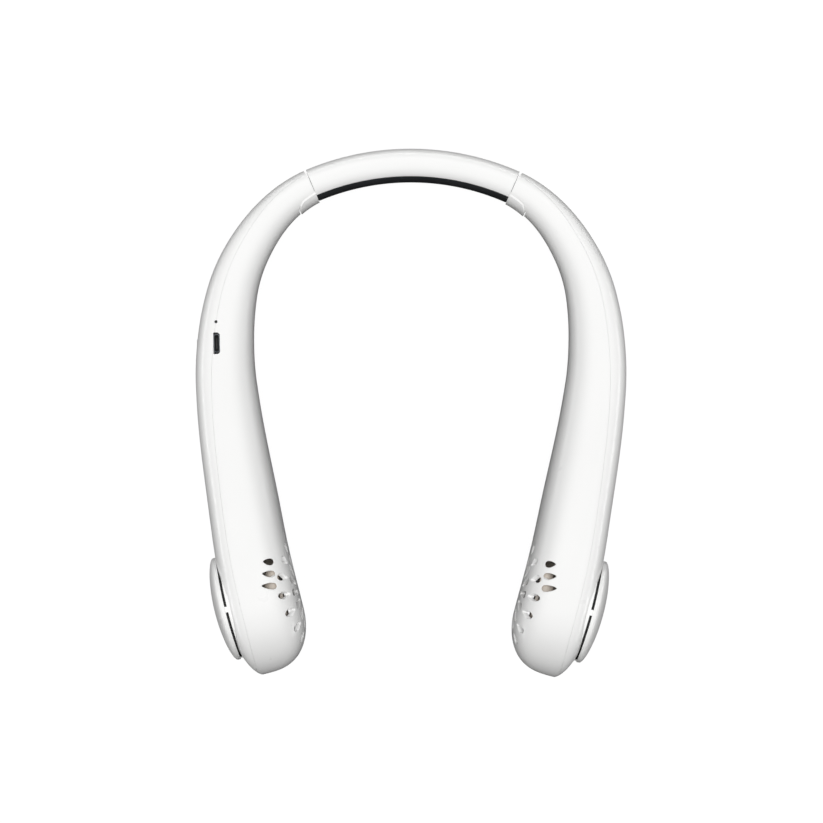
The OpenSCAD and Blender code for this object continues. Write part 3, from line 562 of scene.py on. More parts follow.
def shade(piece, material):
    """Smooth faces with sharp edges kept, in one material."""
    piece.data.materials.clear()
    piece.data.materials.append(material)
    piece.data.polygons.foreach_set("use_smooth", [True] * len(piece.data.polygons))
    piece.data.set_sharp_from_angle(angle=sharp_angle)
    return piece


# %% [markdown]
# ## Outlines and small profiles
# Moulded edges are never quite sharp, and a tiny round is what catches the light. So corners of
# a profile are rounded as it is drawn, and outlines are walked at equal steps so that the mesh
# beside a cut stays even.

# %% Outlines
corner_steps = 5
arc_points = 24


def rounded(outline, radii):
    """An outline of points with some corners rounded by the radii in a table of index to mm."""
    points = []
    for i, corner in enumerate(outline):
        corner = np.array(corner, float)
        if i not in radii:
            points.append(corner)
            continue
        before = np.array(outline[i - 1]) - corner
        after = np.array(outline[(i + 1) % len(outline)]) - corner
        start = corner + before / np.linalg.norm(before) * radii[i]
        end = corner + after / np.linalg.norm(after) * radii[i]
        for share in np.linspace(0, 1, corner_steps):
            points.append(mix(mix(start, corner, share), mix(corner, end, share), share))
    return np.array(points)


def even_loop(points, count):
    """A closed outline walked at equal steps."""
    return evenly(np.vstack([points, points[:1]]).T, count, False)


def round_slot(half_len, half_w, round_r):
    """A rectangle with four round corners."""
    corners = [[-half_len, -half_w], [half_len, -half_w], [half_len, half_w], [-half_len, half_w]]
    return rounded(corners, {i: round_r for i in range(len(corners))})


def round_arc(centre, radius, start, end):
    """Points on an arc, between two angles in degrees."""
    turns = np.radians(np.linspace(start, end, arc_points))
    return np.column_stack([centre[0] + radius * np.cos(turns),
                            centre[1] + radius * np.sin(turns)])


# %% Dressing a piece


def dress(piece, material, body, slot, *nodes):
    """Shades a piece, lets it stand for CAD nodes and move with a body."""
    shade(piece, material)
    if nodes:
        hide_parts(*nodes)
    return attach(piece, body)


# %% [markdown]
# ## The band
# The band is a fixed arc of the arm's own section, hollow and open toward the neck, where the
# soft pad sits on a ledge. Its shell is one closed outline swept round the arc: the outside
# skin, the window's two edges, the ledges, and the inside of the wall.

# %% Band shell
fit = 0.15
band_half_h = band_h / (2 - flat_share)
band_mid_z = band_half_h * (1 - flat_share)
pad_y = band_w / 2 - pad_depth
window_top = band_mid_z + pad_h / 2
window_bottom = band_mid_z - pad_h / 2
window_lip = 0.25
band_turn_step = 0.4
outside_points = 90
inside_points = 50


def band_section(inset, turns):
    """Two rows, y and z, of the band's section at the given directions."""
    half_w = band_w / 2 - inset
    return section(half_w, half_w, band_half_h - inset, band_mid_z, inset, 0, turns)


def band_arc(inset, start, end, count):
    """Equally spaced points of the band's section between two directions."""
    return evenly(band_section(inset, np.linspace(start, end, dense_count)), count)


def first_turn(inset, reached):
    """The first direction, from the top toward the neck, whose point passes a test."""
    turns = np.linspace(quarter, 2 * quarter, dense_count)
    return turns[np.argmax(reached(*band_section(inset, turns)))]


def across_band(turn, points):
    """Points of y and z, set up across the band at a turn."""
    y, z = np.transpose(points)
    radius = band_r - y
    return np.column_stack([radius * math.cos(turn), radius * math.sin(turn) - middle_y, z])


def swept(outline, start, end):
    """An outline of y and z swept round the band's arc between two angles in degrees."""
    count = round(abs(end - start) / band_turn_step) + 1
    return loft([across_band(turn, outline)
                 for turn in np.radians(np.linspace(90 + start, 90 + end, count))])


skin_turn = first_turn(0, lambda y, z: z < window_top)
ledge_turn = first_turn(wall, lambda y, z: y > pad_y)
band_outside = band_arc(0, -skin_turn, skin_turn, outside_points)
lip_y = band_outside[0][0] - window_lip / 2
band_outline = np.vstack([
    band_outside[1:-1],
    [[lip_y, window_top + window_lip / 2], [pad_y, window_top]],
    band_arc(wall, ledge_turn, -ledge_turn, inside_points),
    [[pad_y, window_bottom], [lip_y, window_bottom - window_lip / 2]],
])
band_shell = make_piece("band_shell_skin", swept(band_outline, -seam_angle, seam_angle))
dress(band_shell, abs_white, "neck_band", "white_abs", "band_shell")
print("band shell faces:", len(band_shell.data.polygons))

# %% [markdown]
# ## The neck pad
# The pad is a strip of solid silicone pressed into the window. Such a strip is crowned, a
# little proud in the middle and drawn in at its edges. It could be a cushion blown up by
# simulation, but solid rubber keeps its moulded form, so its section is drawn with round
# shoulders and swept round the arc.

# %% Neck pad
pad_end_round = 0.5
pad_end_bare = 1
pad_points = 60

pad_turn = first_turn(0, lambda y, z: z < window_top - fit)
pad_face = band_arc(0, pad_turn, full_turn - pad_turn, pad_points)
pad_back_y = pad_y + fit / 2
pad_outline = np.vstack([pad_face, [[pad_back_y, pad_face[-1][1]], [pad_back_y, pad_face[0][1]]]])


def pad_ring(turn, draw):
    """One ring of the pad, drawn in toward its middle by draw millimetres, but not behind."""
    middle = np.array([pad_y, band_mid_z])
    away = pad_outline - middle
    length = np.linalg.norm(away, axis=1, keepdims=True)
    drawn = pad_outline - away / length * np.minimum(draw, length / 2)
    return across_band(turn, np.maximum(drawn, [pad_back_y, 0]))


end_steps = np.radians([0, 30, 60, 90])
end_turns = np.degrees(pad_end_round / band_r) * (1 - np.sin(end_steps))
end_draws = pad_end_round * (1 - np.cos(end_steps))[::-1]
middle_turns = np.linspace(seam_angle - pad_end_bare, pad_end_bare - seam_angle,
                           round(2 * seam_angle / band_turn_step))
pad_turns = np.concatenate([seam_angle - end_turns[::-1], middle_turns, end_turns - seam_angle])
pad_draws = np.concatenate([end_draws, np.zeros(len(middle_turns)), end_draws[::-1]])
neck_pad = make_piece("neck_pad_silicone", loft([
    pad_ring(math.radians(90 + turn), draw) for turn, draw in zip(pad_turns, pad_draws)]))
dress(neck_pad, silicone, "neck_band", "dark_silicone", "neck_pad")
print("neck pad length:", round(2 * seam_turn * (band_r - band_w / 2), 1), "mm")

# %% [markdown]
# ## The arm's solid and its hollow
# Both arms are the same shape, mirrored. Everything is drawn as the left arm and the right one
# is mirrored when it is done. The solid runs from the hinge seam to the tip in rings of equal
# spacing. A longer copy of the skin, which starts before the seam, is kept for two jobs: to
# find where a cutter meets the skin, and to give the skin's own normals back after the cuts.

# %% Arm solid
seam_gap = 0.2
over = 1
ring_points = 128
hollow_points = 96
arm_step = 1.5
tip_steps = 30
skin_start = -3
last_skin_turn = 88
last_hollow_turn = 78


def arm_loft(start, inset, step, count, last_turn, pole):
    """The arm's skin or hollow as rings, with stations that crowd toward the tip."""
    length = tip_len - inset
    straight = np.linspace(start, arm_len, round((arm_len - start) / step) + 1)
    turns = np.radians(np.linspace(0, last_turn, tip_steps + 1))[1:]
    stations = np.concatenate([straight, arm_len + length * np.sin(turns)])
    return loft([arm_ring(s, inset, count) for s in stations], pole)


arm_shape = arm_loft(seam_gap, 0, arm_step, ring_points, last_skin_turn, True)
hollow_shape = arm_loft(-over, wall, 2 * arm_step, hollow_points, last_hollow_turn, False)

skin = make_piece("long_skin", arm_loft(skin_start, 0, arm_step, ring_points, last_skin_turn, True))
skin_points = [v.co.copy() for v in skin.data.vertices]
skin_normals = [v.normal.copy() for v in skin.data.vertices]
skin_faces = [tuple(p.vertices) for p in skin.data.polygons]
skin_tree = BVHTree.FromPolygons(skin_points, skin_faces)
bpy.data.objects.remove(skin)
print("skin faces:", len(skin_faces))

# %% Normals of the uncut skin
on_skin = 0.01
facing_share = 0.55
flip_x = Vector((-1, 1, 1))


def skin_normal(spot):
    """The uncut skin's normal at a spot of the left arm, or None off the skin."""
    near, flat, index, distance = skin_tree.find_nearest(spot)
    if distance > on_skin * MM:
        return None
    corners = skin_faces[index]
    if len(corners) > 4:
        return flat
    weights = poly_3d_calc([skin_points[i] for i in corners], near)
    return sum((w * skin_normals[i] for w, i in zip(weights, corners)), Vector()).normalized()


def restore_skin(piece, mirrored):
    """Gives the corners of faces on the skin the normals that they had before the cuts."""
    mesh = piece.data
    flip = flip_x if mirrored else Vector((1, 1, 1))
    found = [skin_normal(v.co * flip) for v in mesh.vertices]
    corners = [c.vector.copy() for c in mesh.corner_normals]
    for face in mesh.polygons:
        for loop in face.loop_indices:
            normal = found[mesh.loops[loop].vertex_index]
            if normal is not None and (normal * flip).dot(face.normal) > facing_share:
                corners[loop] = normal * flip
    mesh.normals_split_custom_set(corners)


def settle(piece, side):
    """Mirrors a piece that was drawn as the left one, where it belongs on the right."""
    if side == "right":
        piece.data.transform(Matrix.Diagonal((-1, 1, 1, 1)))
        piece.data.flip_normals()
    return piece


# %% [markdown]
# ## Frames along the arm
# Each detail is placed in a small frame of its own: x along the line, y toward the neck and z
# up. The fan's frame looks outward along its axis, and the pin's frame stands at the hinge.

# %% Frames
pin_depth = 4
pin_setback = 3.5
pin_y = pin_depth - band_w / 2
cell_place_share = 0.44
cell_len = 48
cell_s = bend_starts[3] + cell_place_share * bend_lens[3]
board_len = 34
board_gap = 1.5
board_s = cell_s - cell_len / 2 - board_gap - board_len / 2
button_d = 8


def frame_at(s, y=0, z=0):
    """A frame on the line at s, moved toward the neck by y and up to z."""
    x_way, y_way = along(s), inward(s)
    place = line_at(s) + y * y_way
    return Matrix(((x_way[0], y_way[0], 0, place[0]), (x_way[1], y_way[1], 0, place[1]),
                   (0, 0, 1, z), (0, 0, 0, 1)))


fan_frame = frame_at(arm_len, 0, mid_z(arm_len)) @ Matrix.Rotation(quarter, 4, "X")
pin_frame = frame_at(0, 0, band_mid_z) @ Matrix.Translation((pin_setback, pin_y, 0))
button_frame = (frame_at(board_s, -outer_reach(board_s), mid_z(board_s))
                @ Matrix.Rotation(quarter, 4, "X"))


def fan_spokes(radius, turns):
    """Frames on the fan's face at a radius, turned by these angles in degrees."""
    return [fan_frame @ Matrix.Rotation(math.radians(turn), 4, "Z")
            @ Matrix.Translation((radius, 0, 0)) for turn in turns]


print("left pin at", [round(v, 2) for v in pin_frame.translation])

# %% [markdown]
# ## Cuts through the skin
# A slot in a moulding has a small chamfer round its mouth, and without it the slot looks
# stamped into paper. So each cutter is made from rays: every point of its outline is thrown
# onto the skin, the mouth's ring is spread a little along the skin, and the rings below go
# straight in. The same tool with its mouth drawn in gives the hinge patch its soft edge.

# %% Skin cutters
mouth_lip = 0.3
mouth_height = 8


def skin_cut(outline, place, start, end, spread=1, rise=0, lip=mouth_lip):
    """A cutter from local z start to end. Its mouth widens by the lip at a height over the skin."""
    ahead, behind = np.roll(outline, -1, axis=0), np.roll(outline, 1, axis=0)
    area = np.sum(outline[:, 0] * ahead[:, 1] - outline[:, 1] * ahead[:, 0])
    step = (ahead - behind) * math.copysign(1, area)
    turned = place.to_3x3()
    way = turned @ Vector((0, 0, math.copysign(1, end - start)))
    rings = [[], [], [], []]
    for point, (step_x, step_y) in zip(outline, step):
        spot, normal = skin_tree.ray_cast(place @ Vector((*point, start)) * MM, way)[:2]
        spot = spot / MM + rise * normal
        side = turned @ Vector((step_y, -step_x, 0))
        side = (side - normal * normal.dot(side)).normalized()
        mouth = spot + spread * 2 * lip * side + lip * normal
        rings[0].append(mouth - mouth_height * way)
        rings[1].append(mouth)
        rings[2].append(spot + lip * way)
        rings[3].append(place @ Vector((*point, end)))
    return loft([np.array(ring) for ring in rings])


print("chamfer round a mouth:", mouth_lip, "mm")

# %% Petal slots and outlets
petal_count = 18
petal_r = 23.8
petal_root_r = 9.5
grille_ring_r = 18.5
grille_ring_w = 1.8
petal_w = 3.2
petal_phase_share = 0.5
petal_root_share = 0.4
petal_inset = 11
outlet_count = 3
outlet_w = 2.8
outlet_len = 4.4
outlet_pitch = 5
outlet_setback = 15.3
outlet_y = 6.2
outlet_drift = 0.9
outlet_growth_share = 0.22
outlet_point_share = 0.7
outlet_side_points = 16
cut_points = 56


def petal_outline(root, rim):
    """Pointed at the root and round at the rim."""
    round_r, root_r = petal_w / 2, petal_root_share * petal_w / 2
    return even_loop(np.vstack([round_arc((rim - round_r, 0), round_r, 90, -90),
                                round_arc((root + root_r, 0), root_r, -90, -270)]), cut_points)


def outlet_outline(length):
    """A drop with its point away from the neck."""
    round_r = outlet_w / 2
    taper = length - round_r
    shares = np.linspace(0, 1, outlet_side_points)
    sides = np.column_stack([round_r * np.sin(quarter * shares) ** outlet_point_share,
                             taper * shares - length / 2])
    cap = round_arc((0, taper - length / 2), round_r, 0, 180)
    return even_loop(np.vstack([sides, cap, (sides * [-1, 1])[::-1]]), cut_points)


def air_cuts():
    """All cutters of one head: the petals on its inner face and the outlets in its top."""
    cuts = []
    for k in range(petal_count):
        turn = Matrix.Rotation(full_turn * (k + petal_phase_share) / petal_count, 4, "Z")
        for outline in (petal_outline(petal_root_r, grille_ring_r - grille_ring_w / 2),
                        petal_outline(grille_ring_r + grille_ring_w / 2, petal_r)):
            cuts.append(skin_cut(outline, fan_frame @ turn, -head_w, petal_inset - head_w / 2))
    for k in range(outlet_count):
        place = frame_at(arm_len - outlet_setback + k * outlet_pitch, outlet_y - k * outlet_drift)
        place = place @ Matrix.Rotation(math.radians(-head_tilt), 4, "Z")
        outline = outlet_outline(outlet_len * (1 + k * outlet_growth_share))
        cuts.append(skin_cut(outline, place, head_h + over, mid_z(arm_len)))
    return joined(cuts)


print("petal slots per head:", 2 * petal_count, "outlets per head:", outlet_count)

# %% [markdown]
# ## The hinge's cuts
# The arm turns about a pin near its outer face, so the outer corner swings into the band's
# place, and the patch swings out of the arm. The cuts are the band's space as the open arm sees
# it, and the patch's space at rest, half way and open.

# %% Hinge cuts
open_angle = 15
slip = 0.25
patch_len = 9
patch_h = 18
patch_depth = 4.6
patch_corner_share = 0.17
patch_y = band_w / 2 - patch_depth


def patch_outline(extra):
    """The patch as seen from the neck, with its two far corners round."""
    far, half = patch_len + extra, patch_h / 2 + extra
    corner = 2 * patch_corner_share * half
    ends = np.vstack([round_arc((far - corner, corner - half), corner, -90, 0),
                      round_arc((far - corner, half - corner), corner, 0, 90)])
    return even_loop(np.vstack([[[-over, -half]], ends, [[-over, half]]]), 2 * cut_points)


def patch_frame(extra, turn):
    """The frame of the patch's back, looking toward the neck, as the opened arm sees it."""
    return (pin_frame @ Matrix.Rotation(math.radians(turn), 4, "Z")
            @ Matrix.Translation((-pin_setback, patch_y - pin_y - extra, 0))
            @ Matrix.Rotation(-quarter, 4, "X"))


def hinge_cuts():
    """The band's space and the patch's space, in shapes that are cut one by one."""
    opened = pin_frame @ Matrix.Rotation(math.radians(open_angle), 4, "Z")
    band_space = block((-band_w - pin_setback, -band_w, -band_h),
                       (seam_gap - pin_setback, band_w, band_h))
    spaces = [placed(prism(patch_outline(slip), 0, band_w), patch_frame(slip, turn))
              for turn in (0, open_angle / 2, open_angle)]
    return [placed(band_space, opened), *spaces]


print("the arms open by", open_angle, "degrees")

# %% [markdown]
# ## The electrics' cuts
# The left arm also has the charging socket's cut, the status light's hole and the power
# button's hole, with the board's slot in the ribs behind them.

# %% Electrics' cuts
socket_s = 81.4
socket_depth = 8.4
socket_cut_len = 9
socket_cut_w = 2.7
socket_bevel = 0.8
socket_round = socket_bevel / 3
socket_lip = 0.05
socket_len = 7.6
socket_w = 2.5
socket_h = 5.6
socket_recess = 0.6
light_offset = 8.8
light_d = 1.2
light_points = 24
button_clearance = 0.1
board_h = 20
board_t = 1
board_headroom = 0.8


def top_z(s):
    """The height of the arm's top over the line at s."""
    return (2 - flat_share) * full_half_h(s)


def seen_from(s, point):
    """Where a point lies for someone who stands on the line at s."""
    return (point - line_at(s)) @ along(s), (point - line_at(s)) @ inward(s)


socket_at = seen_from(board_s, line_at(socket_s)
                      + (socket_depth - outer_reach(socket_s)) * inward(socket_s))
socket_frame = frame_at(board_s) @ Matrix.Translation((*socket_at, 0))
socket_top_z = top_z(socket_s) - socket_recess
light_s = socket_s - light_offset
board_y = socket_at[1] + socket_w / 2 + board_t / 2
board_top_z = top_z(board_s - board_len / 2) - wall - board_headroom


def socket_outline():
    """The socket's cut: square toward the outer face and bevelled toward the neck."""
    x, y = socket_cut_len / 2, socket_cut_w / 2
    corners = [[-x, -y], [x, -y], [x, y - socket_bevel], [x - socket_bevel, y],
               [socket_bevel - x, y], [-x, y - socket_bevel]]
    radii = {i: socket_round for i in range(len(corners))}
    return even_loop(rounded(corners, radii), 2 * cut_points)


def socket_cuts():
    """The socket's cut, and the status light's hole on the parting line."""
    light_hole = round_bar((light_d + fit) / 2, mid_z(light_s), head_h, light_points)
    return joined([
        skin_cut(socket_outline(), socket_frame, head_h, socket_top_z - socket_h - slip,
                 lip=socket_lip),
        placed(light_hole, frame_at(light_s, parting_y(light_s)))])


def board_cut():
    """The board's slot in the ribs."""
    shape = block((-board_len / 2 - fit, -board_t / 2 - fit, board_top_z - board_h - fit),
                  (board_len / 2 + fit, board_t / 2 + fit, board_top_z + fit))
    return placed(shape, frame_at(board_s, board_y))


print("socket at", [round(v, 2) for v in socket_frame.translation])

# %% [markdown]
# ## The four shell halves
# Each arm is two mouldings that meet along a hairline near the outer face. A half is the arm's
# solid less its hollow, kept on one side of the parting surface. The hollow is first filled
# where ribs, bosses and the hinge's cross wall stand, so that they grow out of the wall, as they
# do in a moulding.

# %% What stands inside a half
barrel_r = 1.8
bracket_x = barrel_r + 2 * slip
bracket_t = 1.2
bulkhead_t = 3
rib_t = 1.4
cell_t = 9
cell_h = 26
cell_corner_share = 0.3
cell_rib_shares = (-0.6, 0.1, 0.75)
board_rib_shares = (-0.95, 0.85)
mount_depth = 4
mount_n = head_w / 2 - wall - mount_depth
boss_r = 2.4
boss_len_share = 0.61
boss_height_share = 0.48
boss_place = (boss_len_share * tip_len, boss_height_share * head_h / 2)
boss_ring_r = math.hypot(*boss_place)
boss_turn = math.degrees(math.atan2(boss_place[1], boss_place[0]))
boss_turns = (boss_turn, 180 - boss_turn, 180 + boss_turn, 360 - boss_turn)
collar_wall = 0.8
collar_r = button_d / 2 + button_clearance + collar_wall
collar_h = 3.6


def inner_fillers(side):
    """The cross walls of the inner half."""
    bulkhead = block((0, -head_w, -head_h), (bulkhead_t, head_w, head_h))
    fillers = [placed(bulkhead, pin_frame @ Matrix.Translation((bracket_x + bracket_t, 0, 0)))]
    stations = [cell_s + share * cell_len / 2 for share in cell_rib_shares]
    if side == "left":
        stations += [board_s + share * board_len / 2 for share in board_rib_shares]
    rib = block((-rib_t / 2, -head_w, -over), (rib_t / 2, head_w, head_h + over))
    return fillers + [placed(rib, frame_at(s)) for s in stations]


def outer_fillers(side):
    """The screw bosses of the outer half, and the button's collar."""
    fillers = [placed(round_bar(boss_r, mount_n, head_w), spoke)
               for spoke in fan_spokes(boss_ring_r, boss_turns)]
    if side == "left":
        fillers.append(placed(round_bar(collar_r, -collar_h, head_w), button_frame))
    return fillers


def cell_cut():
    """The battery's space in the ribs, with round edges."""
    x, y = cell_len / 2 + fit, cell_t / 2 + fit
    corner = cell_corner_share * cell_t + fit
    middle = mid_z(cell_s)
    return placed(prism(round_slot(x, y, corner), middle - cell_h / 2 - fit,
                        middle + cell_h / 2 + fit), frame_at(cell_s))


print("screw bosses at a radius of", round(boss_ring_r, 2), "mm")

# %% Making a half


def parting_block(sign):
    """Everything on the neck side of the parting surface, or on the other side."""
    rings = []
    for s in np.arange(-2 * over, arm_len + tip_len + 2 * over, arm_step):
        near = parting_y(s) + sign * parting_gap / 2
        far = near + sign * head_w
        rings.append(across_arm(s, [[near, -over], [far, -over], [far, head_h + over],
                                    [near, head_h + over]]))
    return loft(rings)


def shell_half(name, sign, fillers, additions, cuts):
    """One half of an arm: solid less hollow, kept on one side, with additions, then cut."""
    hollow = make_piece("hollow", hollow_shape)
    for filler in fillers:
        carve(hollow, make_piece("filler", filler))
    half = carve(make_piece(name, arm_shape), hollow)
    carve(half, make_piece("side", parting_block(sign)), "INTERSECT")
    for addition in additions:
        carve(half, make_piece("addition", addition), "UNION")
    for cut in cuts:
        carve(half, make_piece("cut", cut))
    return half


# %% [markdown]
# ### The seat under the cover
# The intake cover bends a little with the head. A low round seat on the outer shell bends in the
# same way, so that the slot at the rim is equally wide all round.

# %% The cover's seat
intake_r = 17
intake_points = 96
cover_margin = 3.2
cover_d = head_h - 2 * cover_margin
cover_gap = 1
cover_lift = 0.4
face_r = 160
bend_r = 230
slot_w = 1
seat_inset = 0.35


def face_drop(r):
    """How far the crowned face lies below its middle at a radius."""
    return r ** 2 / (2 * face_r)


def bent(shape):
    """Follows the head's slight bend along the arm."""
    points, faces = shape
    points = np.array(points, float)
    points[:, 2] -= points[:, 0] ** 2 / (2 * bend_r)
    return points, faces


seat_n = head_w / 2 + cover_gap + cover_lift - face_drop(cover_d / 2) - slot_w
seat_r = cover_d / 2 - seat_inset
seat = placed(bent(lathe([[0, mount_n + wall], [seat_r, mount_n + wall], [seat_r, seat_n],
                          [0, seat_n]])), fan_frame)
print("seat radius:", round(seat_r, 2), "mm")

# %% All four halves
for side in ("left", "right"):
    intake = round_bar(intake_r, 0, head_w, intake_points)
    outer_cuts = [placed(intake, fan_frame), hinge_cuts()[0]]
    inner_cuts = hinge_cuts() + [cell_cut(), air_cuts()]
    if side == "left":
        button_hole = round_bar(button_d / 2 + button_clearance, -head_w / 2, head_w)
        outer_cuts += [placed(button_hole, button_frame), socket_cuts()]
        inner_cuts += [board_cut(), socket_cuts()]
    for half, sign, fillers, additions, cuts in (
            ("outer_shell", -1, outer_fillers(side), [seat], outer_cuts),
            ("inner_shell", 1, inner_fillers(side), [], inner_cuts)):
        node = f"{side}_{half}"
        piece = settle(shell_half(node + "_skin", sign, fillers, additions, cuts), side)
        dress(piece, abs_white, side + "_arm", "white_abs", node)
        restore_skin(piece, side == "right")
        print(node, "faces:", len(piece.data.polygons))

# %% [markdown]
# ## The air guides
# Behind the second and third outlet a small taupe vane leads the air up and out. It slopes down
# from the neck side, so that an outlet looks pale on that side and dark on the other.

# %% Air guides
guide_t = 0.6
guide_rise = 0.12
guide_fall = 2.4
guide_side = 2.1
guide_neck_y = 1.1
guide_outer_y = 1.4
guide_points = 9
guide_rings = 12


def skin_z(s, y):
    """The height of the uncut skin at a place of the line."""
    point = line_at(s) + y * inward(s)
    spot = skin_tree.ray_cast(Vector((*point, 2 * head_h)) * MM, Vector((0, 0, -1)))[0]
    return spot.z / MM


def guide_ring(s):
    """The vane's section at a station: its top from the neck side outward, then its back."""
    k = (s - arm_len + outlet_setback) / outlet_pitch
    middle, half = outlet_y - k * outlet_drift, outlet_len * (1 + k * outlet_growth_share) / 2
    top = []
    for share in np.linspace(0, 1, guide_points):
        y = mix(middle + half + guide_neck_y, middle - half + guide_outer_y, share)
        top.append([y, skin_z(s, y) - wall - mix(guide_rise, guide_fall, share ** 2)])
    return across_arm(s, top + [[y, z - guide_t] for y, z in top[::-1]])


second_outlet_s = arm_len - outlet_setback + outlet_pitch
guide_stations = np.linspace(second_outlet_s - guide_side,
                             second_outlet_s + outlet_pitch + guide_side, guide_rings)
for side in ("left", "right"):
    guide = make_piece(side + "_air_guide", loft([guide_ring(s) for s in guide_stations]))
    dress(settle(guide, side), taupe, side + "_arm", "taupe_plastic")
print("guide length:", round(outlet_pitch + 2 * guide_side, 1), "mm")

# %% [markdown]
# ## The hinge tongues
# A tongue is fixed in the band's end. Its patch closes the inside of the joint, and a web and a
# barrel reach to the pin. The patch follows the arm's skin but stands a little proud of it, so
# that its top edge shows as a bright line, and its rim is softened by the cutter whose mouth is
# drawn in. Where the plug's end and the patch meet in one plane, joining them can leave a pair of
# faces back to back, so such pairs are removed at the end.

# %% Hinge tongues
barrel_h = 6
pin_d = 2
pin_clearance = 0.03
web_side = 0.6
web_h = 9.8
ear_r = barrel_r - 2 * fit
plug_len = 8
plug_points = 60
patch_rise = 0.45
patch_rings = 24


def tongue():
    """The left tongue: patch, web, barrel and plug as one solid."""
    stations = np.linspace(0, patch_len + 2 * over, patch_rings)
    piece = make_piece("tongue", loft([arm_ring(s, -patch_rise, ring_points) for s in stations]))
    edge = skin_cut(patch_outline(0), patch_frame(0, 0), band_w, 0, -1, patch_rise)
    carve(piece, make_piece("edge", edge), "INTERSECT")
    plug_turn = first_turn(wall + fit, lambda y, z: y > pad_y - fit)
    plug = band_arc(wall + fit, -plug_turn, plug_turn, plug_points)
    plug_start = seam_angle - math.degrees(plug_len / band_r)
    web = block((-pin_setback - over, -web_side, -web_h / 2),
                (0, patch_y - pin_y + over, web_h / 2))
    for addition in (swept(plug, plug_start, seam_angle), placed(web, pin_frame),
                     placed(round_bar(barrel_r, -barrel_h / 2, barrel_h / 2), pin_frame)):
        carve(piece, make_piece("addition", addition), "UNION")
    cuts = [round_bar(pin_d / 2 + pin_clearance, -band_h, band_h)]
    cuts += [round_bar(ear_r + slip, *heights)
             for heights in ((barrel_h / 2, band_h), (-band_h, -barrel_h / 2))]
    for cut in cuts:
        carve(piece, make_piece("cut", placed(cut, pin_frame)))
    return drop_flat_pairs(piece)


for side in ("left", "right"):
    piece = settle(tongue(), side)
    piece.name = side + "_hinge_tongue_patch"
    dress(piece, abs_white, "neck_band", "white_abs", side + "_hinge_tongue")
print("tongue faces:", len(piece.data.polygons))

# %% [markdown]
# A thin black strip in the seam just under the skin is painted shade: it gives the fine dark line
# that the narrow seam's own shadow would give, where the floor would otherwise show through. It
# stays with the band.

# %% Painted shade in the seams
seam_shade_inset = 1.2
seam_shade_clearance = 0.04

seam_shade_outline = evenly(band_section(seam_shade_inset, dense_turns), hollow_points, False)
# Each strip is painted shade: black where the seam's own shadow falls
for side in ("left", "right"):
    seam_shade_strip = make_piece(side + "_seam_painted_shade", loft([
        across_arm(s, seam_shade_outline) for s in (seam_shade_clearance, seam_gap - seam_shade_clearance)]))
    dress(settle(seam_shade_strip, side), black_nylon, "neck_band", "black_plastic")
print("gasket thickness:", round(seam_gap - 2 * seam_shade_clearance, 2), "mm")

# %% [markdown]
# ## The intake covers
# Air comes in round the edge of a domed cover, which stands off the head's outer face on four
# short bridges. The dome is a turned profile with a round rim and a hollow back. The slot under
# it looks black from the shade inside the head, and that shade is painted: a black ring with
# fine folds stands behind the slot.

# %% Intake covers
cover_h = 3.4
cover_rim_t = 1.2
cover_wall = 1.4
cover_rim_round = 0.4
dome_points = 41
bridge_len = 2.8
bridge_w = 2.4
bridge_recess = 0.4
bridge_turns = (0, 90, 180, 270)
cover_frame = fan_frame @ Matrix.Translation((0, 0, head_w / 2 + cover_gap + cover_lift))


def cover_profile():
    """Radius and height, from the crown round the rim to the middle of the hollow."""
    rim_r = cover_d / 2
    rim_z = cover_rim_t - face_drop(rim_r)
    turns = np.radians(np.linspace(90, 0, dome_points))
    dome = np.column_stack([rim_r * np.cos(turns),
                            rim_z + (cover_h - rim_z) * np.sin(turns)])
    inside = turns[::-1]
    hollow = np.column_stack([intake_r * np.cos(inside), (cover_h - cover_wall) * np.sin(inside)
                              - face_drop(intake_r) * np.cos(inside)])
    rim = [[rim_r, -face_drop(rim_r)]]
    outline = np.vstack([dome, rim, hollow])
    return rounded(outline, {len(dome): cover_rim_round})


rim_bottom = -face_drop(cover_d / 2)
bridge = block((cover_d / 2 - bridge_len, -bridge_w / 2, rim_bottom - slot_w - 2 * over),
               (cover_d / 2 - bridge_recess, bridge_w / 2, rim_bottom + over / 2))
cover_shape = placed(bent(lathe(cover_profile())), cover_frame)
print("cover:", cover_d, "mm across")

# %% Painted shade behind the intake slots
shade_ring_setback = 1.1
shade_ring_rise = 0.2
shade_ring_folds = 90
shade_ring_fold = 0.12

# A folded black ring behind each slot is painted shade for the dark inside the head
shade_ring_count = 4 * shade_ring_folds
folds = np.sin(shade_ring_folds * np.linspace(0, full_turn, shade_ring_count, endpoint=False))
folded_r = cover_d / 2 - shade_ring_setback + shade_ring_fold * folds
shade_ring_top = shade_ring_rise - face_drop(intake_r)
shade_ring_bottom = rim_bottom - slot_w - over
shade_ring_shape = placed(bent(loft([circle(radius, z, shade_ring_count) for radius, z in (
    (folded_r, shade_ring_bottom), (folded_r, shade_ring_top), (intake_r, shade_ring_top),
    (intake_r, shade_ring_bottom))])), cover_frame)
print("screen height:", round(shade_ring_top - shade_ring_bottom, 2), "mm")

# %% Both covers with their painted shade rings
for side in ("left", "right"):
    cover = make_piece(side + "_intake_cover_dome", cover_shape)
    for turn in bridge_turns:
        spoke = cover_frame @ Matrix.Rotation(math.radians(turn), 4, "Z")
        carve(cover, make_piece("bridge", placed(bridge, spoke)), "UNION")
    dress(settle(cover, side), abs_white, side + "_arm", "white_abs", side + "_intake_cover")
    # The black ring behind the slot is painted shade
    shade_ring = settle(make_piece(side + "_intake_painted_shade", shade_ring_shape), side)
    dress(shade_ring, black_nylon, side + "_arm", "black_plastic")
print("cover faces:", len(cover.data.polygons))

